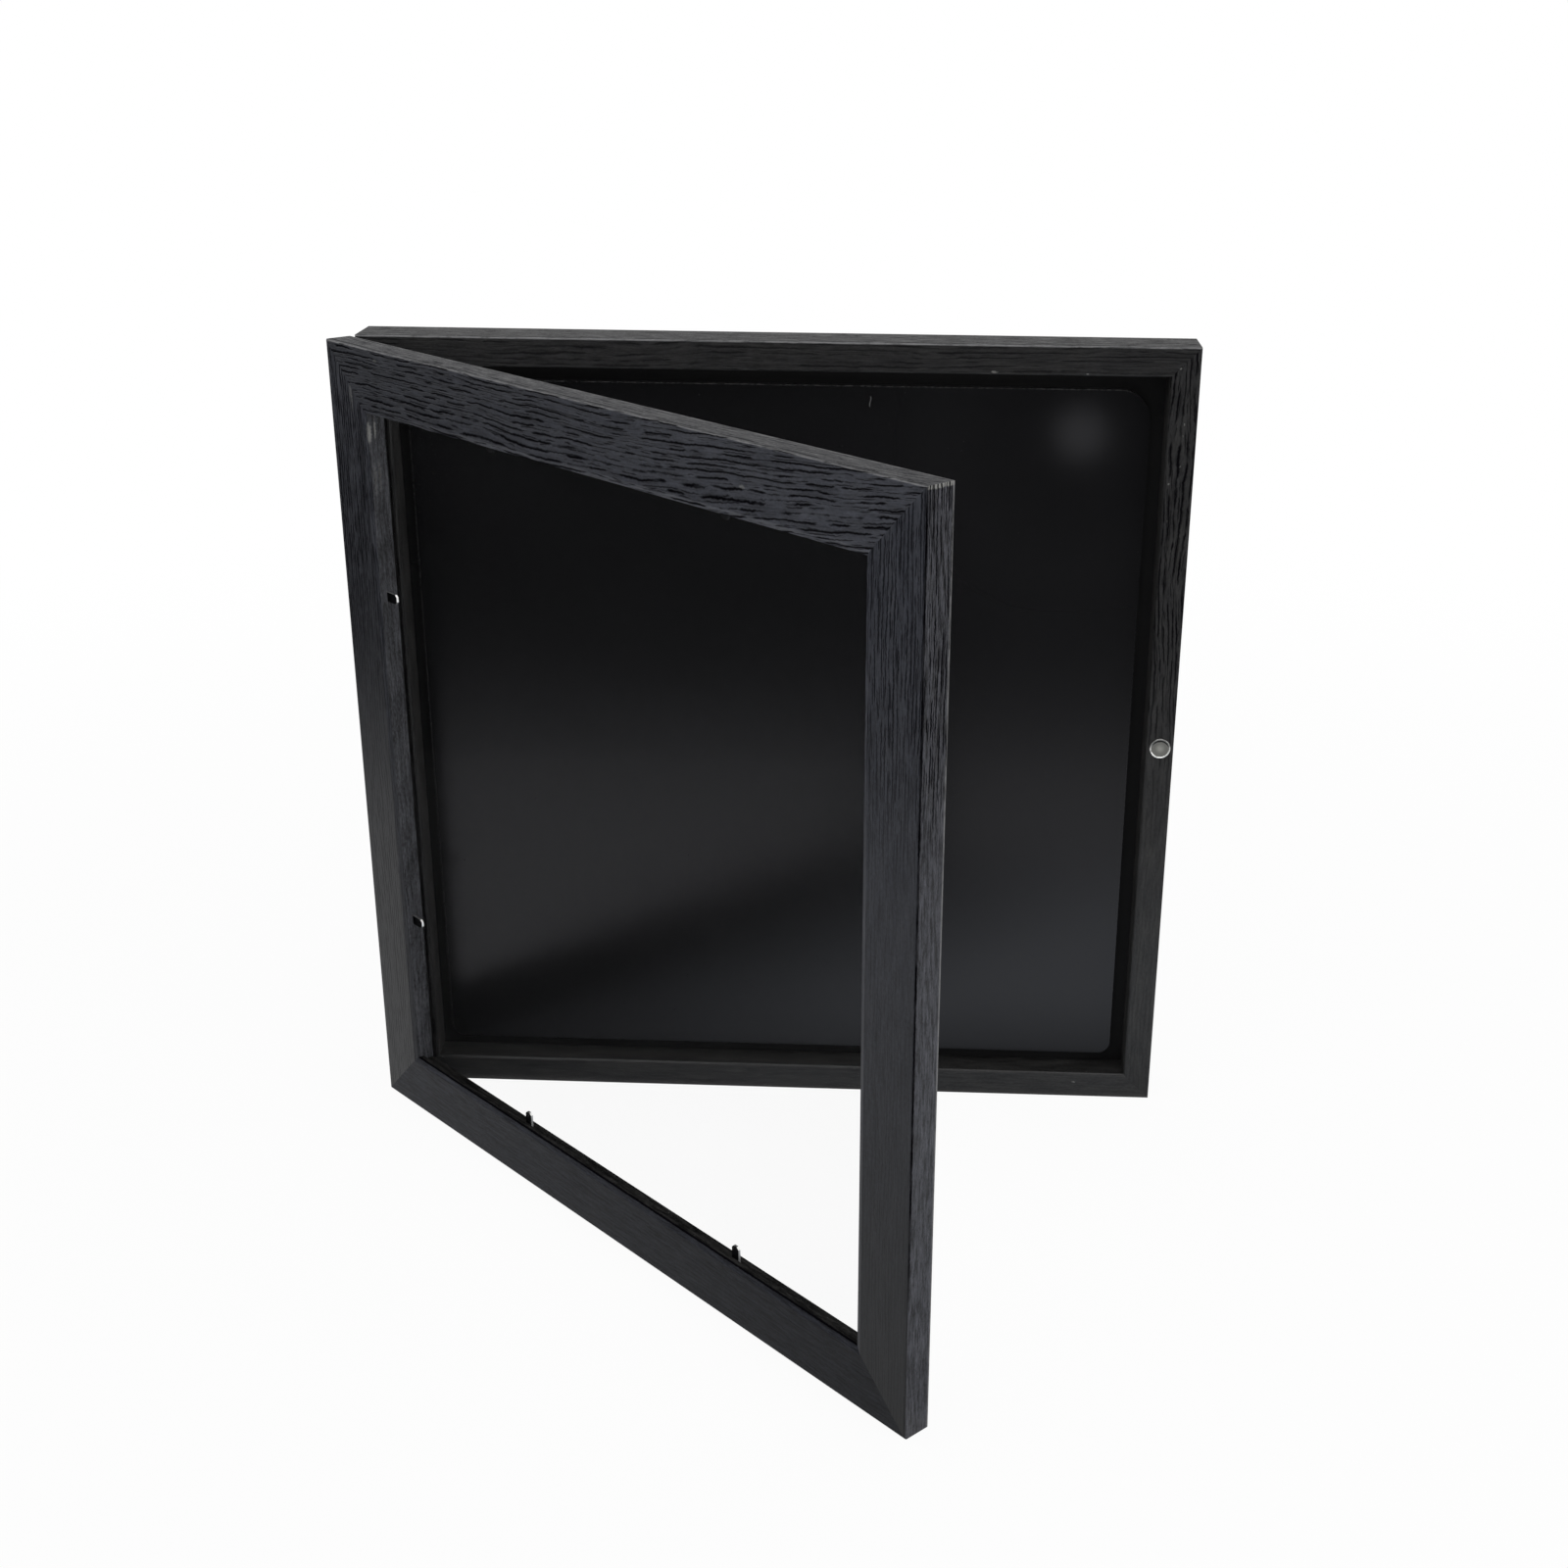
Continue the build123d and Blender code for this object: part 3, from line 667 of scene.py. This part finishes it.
    def scuffed(self):
        """How far the film is scuffed: chips at the sight edge, the rubbed end and single marks."""
        sight_edge = self.smooth(abs(self.inset - self.width), 0.5, 0.3)
        scuffed = self.smooth(self.mottle, 0.2, 0.3) * sight_edge * 0.3
        if self.rail in RUBBED_END:
            end = self.smooth(self.run + self.rag * 0.9, *RUBBED_END[self.rail]) * self.on_side
            scuffed = self.larger(scuffed, end)
        for mark in SCUFFS.get(self.rail, ()):
            broken = self.smooth(self.mottle, -0.35, 0.05)
            scuffed = self.larger(scuffed, self.scuff(mark) * broken)
        return scuffed

    def scuff(self, mark):
        """A soft mark."""
        along, deep, half_length, half_width, strength = mark
        far_along = (self.run - along) / half_length
        far_across = (self.across + self.rag * 1.5 - deep) / half_width
        far = far_along * far_along + far_across * far_across
        return self.smooth(far, 1.2, 0.2) * strength


class SHADOWBOX_OT_rails(PieceOperator):
    """Cover the eight mitred rails with wood-grain film"""

    bl_idname = "shadowbox.rails"
    bl_label = "Film on the rails"

    def execute(self, context):
        rails = [(body, side) for body in ("box", "door") for side in SIDES]
        for number, (body, side) in enumerate(rails):
            film = RailFilm(context.scene.shadowbox_film, body, side, number)
            dress(f"{body}_rail_{side}", film.material())
        return {"FINISHED"}


class SHADOWBOX_OT_boards(PieceOperator):
    """Finish the display board and the back panel"""

    bl_idname = "shadowbox.boards"
    bl_label = "Boards"

    def execute(self, context):
        look = context.scene.shadowbox_board
        dress("display_board", self.board(look))
        dress("back_panel", self.panel(look))
        return {"FINISHED"}

    def board(self, look):
        """Satin black, with a rubbed rim, dust, a pale mark and a painted highlight at a glossy spot."""
        shader = Shader("black_board")
        low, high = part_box("display_board")
        edge = shader.smooth(shader.y(low.y), 0.03, 0.15)
        grain = shader.speckle(BOARD_GRAIN)
        speck = shader.speckle(BOARD_SPECK)
        cloud = shader.speckle(BOARD_CLOUD)
        face = shader.mix(cloud, colour(look.colour, 0.85), colour(look.colour, 1.15))
        far = shader.far(shader.x(GLOSSY_HIGHLIGHT_PLACE[0]), shader.z(GLOSSY_HIGHLIGHT_PLACE[1]))
        # A painted highlight: the face paler round the glossy spot.
        face = shader.mix(shader.smooth(far, 130.0, 30.0), face, colour(look.colour, 1.65))
        rubbed = self.rubbed_rim(shader, low, high, speck) * (1.0 - edge)
        dust = shader.smooth(shader.speckle(BOARD_DUST), 0.77, 0.8) * (1.0 - edge)
        face = shader.mix(rubbed, face, colour(look.edge_colour, 2.5))
        face = shader.mix(dust * 0.25, face, colour(look.edge_colour, 3.0))
        face = shader.mix(self.thread(shader), face, colour(look.thread_colour))
        bright = shader.smooth(speck, 0.45, 0.7)
        cut = shader.mix(bright, colour(look.edge_colour), colour(look.edge_colour, 3.0))
        glossy = shader.smooth(far, 60.0, 14.0) * 0.12
        return shader.painted(
            Base_Color=shader.mix(edge, face, cut),
            Roughness=look.roughness + cloud * 0.05 + edge * 0.35 - glossy,
            Specular_IOR_Level=0.29,
            Specular_Tint=(0.94, 0.94, 1.0, 1.0),
            Normal=shader.bump(grain + speck * edge * 2.0, 0.003),
        )

    def rubbed_rim(self, shader, low, high, speck):
        """How far the face is rubbed along its rim, most at the top and the left."""
        rim = shader.smooth(self.inside(shader, low, high) + speck * 0.8, 1.0, 0.75)
        at_top = shader.smooth(shader.z(high.z), -1.2, -0.6) * 0.7
        at_left = shader.smooth(shader.x(low.x), 1.2, 0.6) * 0.6
        return rim * (shader.larger(at_top, at_left) + 0.06) * shader.smooth(speck, 0.4, 0.62)

    def inside(self, shader, low, high):
        """How far in from the board's rounded outline a point lies, in mm."""
        middle = (low + high) / 2
        half = (high - low) / 2
        across = abs(shader.x(middle.x))
        up = shader.z(middle.z)
        radius = shader.maths("GREATER_THAN", up, 0.0) * (TOP_CORNER - BOTTOM_CORNER) + BOTTOM_CORNER
        past_side = shader.larger(across + radius - half.x / MM, 0.0)
        past_end = shader.larger(abs(up) + radius - half.z / MM, 0.0)
        return radius - shader.far(past_side, past_end)

    def thread(self, shader):
        """A short pale curved mark near the board's top edge."""
        x, z = shader.x(THREAD_PLACE[0]), shader.z(THREAD_PLACE[1])
        bow = x - z * 0.3 + z * z * z * 0.06
        return shader.smooth(abs(bow), 0.3, 0.08) * shader.smooth(abs(z), 2.4, 1.6)

    def panel(self, look):
        """Dark fibreboard behind, scratched along its length, and black on its front."""
        shader = Shader("back_panel_board")
        fibre = shader.speckle(PANEL_FIBRE)
        cloud = shader.speckle(PANEL_CLOUD)
        lengthways = shader.vector(shader.x() / 40.0, 0.0, shader.z() / 1.2)
        scratch = shader.smooth(shader.noise(lengthways, *PANEL_SCRATCH), 0.66, 0.74)
        tone = shader.mix(fibre, colour(look.panel_colour, 0.4), colour(look.panel_colour, 1.8))
        tone = shader.mix(cloud * 0.5, tone, colour(look.panel_colour, 0.6))
        tone = shader.mix(scratch * 0.35, tone, colour(look.panel_colour, 3.0))
        low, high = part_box("back_panel")
        behind = shader.smooth(shader.y(low.y), 0.3, 0.5)
        front = shader.mix(fibre, (0.002, 0.002, 0.0022, 1.0), (0.0045, 0.0045, 0.005, 1.0))
        return shader.painted(
            Base_Color=shader.mix(behind, front, tone),
            Roughness=0.7 + cloud * 0.15,
            Specular_IOR_Level=0.2,
            Normal=shader.bump(fibre, 0.08),
        )


class SHADOWBOX_OT_pane(PieceOperator):
    """Make the glazing panel clear"""

    bl_idname = "shadowbox.pane"
    bl_label = "Pane"

    def execute(self, context):
        shader = Shader("clear_pane")
        smear = shader.speckle(PANE_SMEAR)
        clear = shader.painted(
            Base_Color=(0.02, 0.022, 0.022, 1.0),
            Roughness=0.04 + smear * 0.05,
            Specular_IOR_Level=0.3,
            Alpha=0.008 + smear * 0.012,
        )
        dress("glazing_panel", clear)
        return {"FINISHED"}


class SHADOWBOX_OT_hardware(PieceOperator):
    """Finish the hinges, screws, points, magnet and hanger"""

    bl_idname = "shadowbox.hardware"
    bl_label = "Hardware"

    def execute(self, context):
        nickel = self.metal("nickel_plate", NICKEL, 0.28)
        zinc = self.metal("zinc_plate", ZINC, 0.34)
        black = self.metal("blackened_steel", STEEL, 0.4)
        lacquer = self.metal("black_lacquered_steel", LACQUER, 0.35)
        shown = {
            nickel: ("strike_plate",),
            lacquer: (
                "lower_hinge_box_leaf", "upper_hinge_box_leaf", "lower_hinge_door_leaf",
                "upper_hinge_door_leaf", "lower_hinge_pin", "upper_hinge_pin",
            ),
            zinc: ("sawtooth_hanger", "box_corner_nails", "door_corner_nails"),
            black: ("back_panel_points",),
            self.magnet_face(): ("magnet_disc",),
            self.point_steel(): ("glazing_points",),
        }
        for material, nodes in shown.items():
            for node in nodes:
                dress(node, material)
        self.magnet_shell(self.cup_plating())
        self.screws(self.metal("rubbed_lacquer", RUBBED, 0.3), nickel)
        return {"FINISHED"}

    def magnet_shell(self, material):
        """The magnet's cup, with the rolled lip that the plain one lacks."""
        low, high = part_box("magnet_cup")
        radius, length = (high.x - low.x) / 2, high.y - low.y
        self.disc(CUP_SIDES, radius, -length)
        self.push(length)
        self.push(0.0, (radius - CUP_WALL) / radius)
        self.push(CUP_FLOOR - length)
        shell = self.close_up()
        self.round_edges(shell, LIP_RADIUS, LIP_SEGMENTS)
        self.settle(shell, "magnet_shell", box_place((low.x + high.x) / 2, low.y, (low.z + high.z) / 2))
        self.attach(shell, "box", "magnet_cup", "magnet_shell", material)

    def screws(self, lacquer, nickel):
        """The hinges' screws and the strike plate's, with the cross recess that the plain ones lack."""
        in_box = [box_place(SCREW_INSET - FRAME_WIDTH / 2, LEAF_FACE, height) for height in SCREW_HEIGHTS]
        in_door = [door_place(SCREW_INSET, DOOR_LEAF_FACE, height) for height in SCREW_HEIGHTS]
        in_strike = [door_place(FRAME_WIDTH / 2 + MAGNET_PLACE[0], STRIKE_FACE, MAGNET_PLACE[1])]
        for name, length, places, hung in (
            ("screws_in_box", HINGE_SCREW, in_box, ("box", "hinge_box_screws", "screw_steel", lacquer)),
            ("screws_in_door", HINGE_SCREW, in_door, ("door", "hinge_door_screws", "screw_steel", lacquer)),
            ("screw_in_strike", STRIKE_SCREW, in_strike, ("door", "strike_screw", "strike_steel", nickel)),
        ):
            screw = self.screw(length)
            copies = []
            for number, place in enumerate(places):
                pick(screw)
                bpy.ops.object.duplicate(linked=False)
                turn = Matrix.Rotation(FIRST_TURN + NEXT_TURN * number, 4, "Z")
                self.settle(bpy.context.object, name, place @ turn)
                copies.append(bpy.context.object)
            bpy.data.objects.remove(screw)
            pick(*copies)
            if len(copies) > 1:
                bpy.ops.object.join()
            self.attach(copies[0], *hung)

    def screw(self, length):
        """One countersunk screw, head up at the origin, with a cross recess."""
        self.disc(SCREW_SIDES, SCREW_HEAD, 0)
        self.push(-SCREW_HEAD_HEIGHT, SCREW_SHANK / SCREW_HEAD)
        self.push(SCREW_HEAD_HEIGHT + SCREW_TIP - length)
        self.push(-SCREW_TIP, TIP_SHARE)
        screw = self.close_up()
        for turn in (0.0, math.pi / 2):
            pick()
            bpy.ops.mesh.primitive_cube_add(size=1.0, location=(0, 0, 0), rotation=(0, 0, turn))
            slot = bpy.context.object
            slot.scale = RECESS_SIZE
            bpy.ops.object.transform_apply()
            cut = screw.modifiers.new("recess", "BOOLEAN")
            cut.operation = "DIFFERENCE"
            cut.solver = "EXACT"
            cut.object = slot
            self.apply(screw, cut)
            bpy.data.objects.remove(slot)
        self.round_edges(screw, SCREW_EDGE, SCREW_EDGE_SEGMENTS)
        return screw

    def disc(self, sides, radius, height):
        """A flat round face, left selected in edit mode."""
        pick()
        bpy.ops.mesh.primitive_circle_add(
            vertices=sides, radius=radius, fill_type="NGON", location=(0, 0, height)
        )
        bpy.ops.object.mode_set(mode="EDIT")
        bpy.ops.mesh.select_all(action="SELECT")

    def push(self, distance, scale=1.0):
        """Extrude what is selected along Z, then scale it about the axis."""
        bpy.ops.mesh.extrude_region_move(TRANSFORM_OT_translate={"value": (0, 0, distance)})
        if scale != 1.0:
            bpy.ops.transform.resize(value=(scale, scale, 1.0), center_override=(0, 0, 0))

    def close_up(self):
        """Leave edit mode with the normals outward and the place in the mesh, and give the object."""
        bpy.ops.mesh.select_all(action="SELECT")
        bpy.ops.mesh.normals_make_consistent(inside=False)
        bpy.ops.object.mode_set(mode="OBJECT")
        bpy.ops.object.transform_apply()
        return bpy.context.object

    def apply(self, piece, modifier):
        pick(piece)
        bpy.ops.object.modifier_apply(modifier=modifier.name)

    def round_edges(self, piece, width, segments):
        bevel = piece.modifiers.new("rounding", "BEVEL")
        bevel.width = width
        bevel.segments = segments
        bevel.limit_method = "ANGLE"
        bevel.angle_limit = ROUNDED_ANGLE
        self.apply(piece, bevel)
        bpy.ops.object.shade_smooth_by_angle(angle=CRISP_ANGLE)

    def settle(self, piece, name, place):
        """Name a piece and put it in its place, with the place in its mesh."""
        piece.name = name
        piece.data.transform(place)
        piece.data.update()

    def attach(self, piece, body, node, slot, material):
        """Hang a finished piece on its body, in place of a CAD node."""
        piece.data.materials.clear()
        piece.data.materials.append(material)
        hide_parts(node)
        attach(piece, body)

    def point_steel(self):
        """Black on the broad faces, bare at the narrow cut edges, and all black high up as painted shade."""
        shader = Shader("point_steel")
        facing = shader.node("ShaderNodeTexCoord", output="Normal")
        back = rail_axes("door", "left")[2][0]
        inputs = {0: facing, 1: tuple(back)}
        broad = shader.node("ShaderNodeVectorMath", {"operation": "DOT_PRODUCT"}, inputs, "Value")
        cut = shader.smooth(abs(broad), 0.7, 0.4) * shader.smooth(shader.z(), *POINT_SHADE_HEIGHTS)
        rub = shader.speckle(METAL_RUB)
        tone = shader.mix(rub, (0.005, 0.005, 0.006, 1.0), (0.011, 0.011, 0.012, 1.0))
        bare = shader.mix(rub, (0.62, 0.62, 0.61, 1.0), (0.9, 0.9, 0.89, 1.0))
        return shader.painted(
            Base_Color=shader.mix(cut, tone, bare),
            Metallic=cut,
            Roughness=0.5 - cut * 0.2 + rub * 0.1,
            Specular_IOR_Level=0.1,
        )

    def cup_plating(self):
        """Bright nickel, darker towards the top of the cup's lip as a painted dark reflection."""
        shader = Shader("bright_nickel")
        rub = shader.speckle(METAL_RUB)
        # Painted shade: a dark reflection towards the top of the lip.
        darkened = shader.smooth(shader.z(MAGNET_PLACE[1]) + rub * 3.0, 0.5, 4.0) * 0.85
        tone = shader.mix(darkened, (0.86, 0.86, 0.84, 1.0), (0.12, 0.12, 0.115, 1.0))
        return shader.painted(
            Base_Color=tone, Metallic=1.0, Roughness=0.15 + rub * 0.1, Normal=shader.bump(rub, 0.01)
        )

    def magnet_face(self):
        """Grey sintered metal, worn paler in the middle, with a painted shadow in the gap at its upper rim.
        """
        shader = Shader("magnet_core")
        patch = shader.speckle(MAGNET_PATCH)
        x, z = shader.x(MAGNET_PLACE[0]), shader.z(MAGNET_PLACE[1])
        out = shader.far(x, z)
        worn = shader.smooth(out + patch * 1.6, 3.4, 0.6)
        # Painted shadow at the upper rim.
        gap = shader.smooth(out + z * 0.35 + patch * 0.8, 4.15, 4.45)
        tone = shader.mix(worn * 0.7 + patch * 0.3, (0.13, 0.13, 0.12, 1.0), (0.34, 0.34, 0.315, 1.0))
        tone = shader.mix(gap, tone, (0.01, 0.01, 0.01, 1.0))
        return shader.painted(
            Base_Color=tone, Metallic=0.6, Roughness=0.5 + patch * 0.2, Normal=shader.bump(patch, 0.02)
        )

    def metal(self, name, tint, roughness):
        """A rubbed metal with darker patches."""
        shader = Shader(name)
        rub = shader.speckle(METAL_RUB)
        patch = shader.speckle(METAL_PATCH)
        return shader.painted(
            Base_Color=shader.mix(patch, colour(tint, 0.6), colour(tint, 1.1)),
            Metallic=1.0,
            Roughness=roughness + rub * 0.14 + patch * 0.1,
            Normal=shader.bump(rub, 0.01),
        )


class SHADOWBOX_OT_studio(PieceOperator):
    """Set the floor, the lamps and the camera"""

    bl_idname = "shadowbox.studio"
    bl_label = "Studio"

    def execute(self, context):
        look = context.scene.shadowbox_studio
        self.lay("floor", (0, 0, 0), (FLOOR_SIZE, FLOOR_SIZE, 1.0), self.floor(look))
        context.scene.world = self.world(look)
        self.lamps(look)
        self.cards()
        context.scene.camera = self.camera()
        context.scene.view_settings.view_transform = "Standard"
        return {"FINISHED"}

    def lay(self, name, place, size, material, angle=0.0):
        """A flat sheet on the ground, which belongs to the studio."""
        pick()
        bpy.ops.mesh.primitive_plane_add(size=1.0, location=place, rotation=(0, 0, angle))
        sheet = bpy.context.object
        sheet.name = name
        sheet.scale = size
        bpy.ops.object.transform_apply()
        sheet.data.materials.append(material)
        return sheet

    def seen(self, shader):
        """1 for what the camera sees directly, in gloss or through the pane."""
        rays = [
            shader.node("ShaderNodeLightPath", output=f"Is {kind} Ray")
            for kind in ("Camera", "Glossy", "Transmission")
        ]
        return shader.larger(shader.larger(rays[0], rays[1]), rays[2])

    def floor(self, look):
        """Nearly white where it is seen, and plain white well away from the object."""
        shader = Shader("pale_floor")
        off_middle = shader.far(shader.x(FLOOR_MIDDLE[0]), shader.y(FLOOR_MIDDLE[1]))
        away = shader.smooth(off_middle, *WHITE_FLOOR)
        lifted = self.seen(shader) * (away * (1.0 - look.floor_glow) + look.floor_glow)
        matt = shader.matt(colour(look.floor_colour))
        return shader.finish(shader.mix_shader(lifted, matt, shader.glow()))

    def world(self, look):
        """White where it is seen, and a soft fill light."""
        shader = Shader("studio_light", bpy.data.worlds.new("studio_light"))
        strength = self.seen(shader) * (1.0 - look.fill) + look.fill
        background = shader.node("ShaderNodeBackground", None, {"Color": WHITE, "Strength": strength})
        return shader.finish(background, "ShaderNodeOutputWorld")

    def lamps(self, look):
        self.lamp("overhead_lamp", OVERHEAD_LAMP, look.lamp_power)
        self.lamp("right_lamp", RIGHT_LAMP, look.side_power)
        disc = self.lamp("disc_lamp", DISC_LAMP, look.disc_power)
        disc.data.shape = "DISK"
        disc.visible_diffuse = False
        disc.data.use_shadow = False

    def lamp(self, name, lie, power):
        place, aim, size = lie
        data = bpy.data.lights.new(name, "AREA")
        data.shape = "SQUARE"
        data.size = size
        data.energy = power
        lamp = bpy.data.objects.new(name, data)
        lamp.location = place
        lamp.rotation_euler = (Vector(aim) - Vector(place)).to_track_quat("-Z", "Y").to_euler()
        bpy.context.scene.collection.objects.link(lamp)
        return lamp

    def cards(self):
        """Cards on the floor in front, left and behind the door: painted reflections, seen only in gloss."""
        dark = self.dark_reflection_card()
        hinge = Vector((HINGE_AXIS.x, HINGE_AXIS.y, WEDGE_HEIGHT))
        wedge = hinge + Matrix.Rotation(-DOOR_ANGLE, 3, "Z") @ Vector(WEDGE_MIDDLE)
        for card in (
            self.lay("front_card", *FRONT_CARD, dark),
            self.lay("left_card", *LEFT_CARD, dark),
            self.lay("painted_shadow_card", wedge, WEDGE_SIZE, self.painted_shadow_card(), -DOOR_ANGLE),
        ):
            card.visible_camera = False
            card.visible_diffuse = False
            card.visible_shadow = False

    def dark_reflection_card(self):
        """Dark painted reflection, glowing white at the end of the front card nearest to the door."""
        shader = Shader("dark_reflection_card")
        patch = shader.speckle(CARD_PATCH)
        tone = shader.mix(patch, (0.008, 0.008, 0.008, 1.0), (0.012, 0.012, 0.012, 1.0))
        back = shader.y()
        fade = shader.smooth(back, *CARD_FADE) * shader.smooth(back, *CARD_END)
        return shader.finish(shader.mix_shader(fade, shader.matt(tone), shader.glow()))

    def painted_shadow_card(self):
        """The ground between door and box: painted shadow near them and glowing bright away from them."""
        shader = Shader("painted_shadow_card")
        back = shader.y()
        from_door = shader.along(rail_axes("door", "left")[2]) - DOOR_THICKNESS / MM
        near_box = shader.smooth(back, *WEDGE_BOX_SHADOW_SPAN)
        bright = shader.smaller(from_door * WEDGE_RISE + WEDGE_LEAST, 1.0) * (1.0 - near_box * WEDGE_BOX_SHADOW)
        glow = shader.glow(WEDGE_COLOUR, WEDGE_STRENGTH)
        lit = shader.mix_shader(bright, shader.matt((0.01, 0.01, 0.01, 1.0)), glow)
        clear = shader.node("ShaderNodeBsdfTransparent")
        shown = shader.smooth(back, *WEDGE_FADE) * shader.smooth(back, *WEDGE_END)
        return shader.finish(shader.mix_shader(shown, clear, lit))

    def camera(self):
        """The camera where the photograph was taken from."""
        forward, up = Vector(CAMERA_FORWARD), Vector(CAMERA_UP)
        data = bpy.data.cameras.new("camera")
        data.sensor_width = CAMERA_SENSOR
        data.lens = CAMERA_LENS
        data.shift_x, data.shift_y = CAMERA_SHIFT
        data.clip_start, data.clip_end = CAMERA_CLIP
        camera = bpy.data.objects.new("camera", data)
        turn = Matrix((forward.cross(up), up, -forward)).transposed().to_4x4()
        camera.matrix_world = Matrix.Translation(CAMERA_PLACE) @ turn
        bpy.context.scene.collection.objects.link(camera)
        return camera


class SHADOWBOX_PT_panel(bpy.types.Panel):
    """The steps, one button each."""

    bl_idname = "SHADOWBOX_PT_panel"
    bl_label = "Shadow box frame"
    bl_space_type = "VIEW_3D"
    bl_region_type = "UI"
    bl_category = "Shadow box"

    def draw(self, context):
        for step in STEPS:
            self.layout.operator(step.bl_idname)


STEPS = (
    SHADOWBOX_OT_rails,
    SHADOWBOX_OT_boards,
    SHADOWBOX_OT_pane,
    SHADOWBOX_OT_hardware,
    SHADOWBOX_OT_studio,
)
SETTINGS = {
    "shadowbox_film": FilmSettings,
    "shadowbox_board": BoardSettings,
    "shadowbox_studio": StudioSettings,
}


def register():
    for group in SETTINGS.values():
        bpy.utils.register_class(group)
    for name, group in SETTINGS.items():
        setattr(bpy.types.Scene, name, bpy.props.PointerProperty(type=group))
    for step in STEPS:
        bpy.utils.register_class(step)
    bpy.utils.register_class(SHADOWBOX_PT_panel)


def unregister():
    bpy.utils.unregister_class(SHADOWBOX_PT_panel)
    for step in reversed(STEPS):
        bpy.utils.unregister_class(step)
    for name, group in SETTINGS.items():
        delattr(bpy.types.Scene, name)
        bpy.utils.unregister_class(group)


def main():
    register()
    for step in STEPS:
        group, name = step.bl_idname.split(".")
        getattr(getattr(bpy.ops, group), name)()


if __name__ == "__main__":
    main()
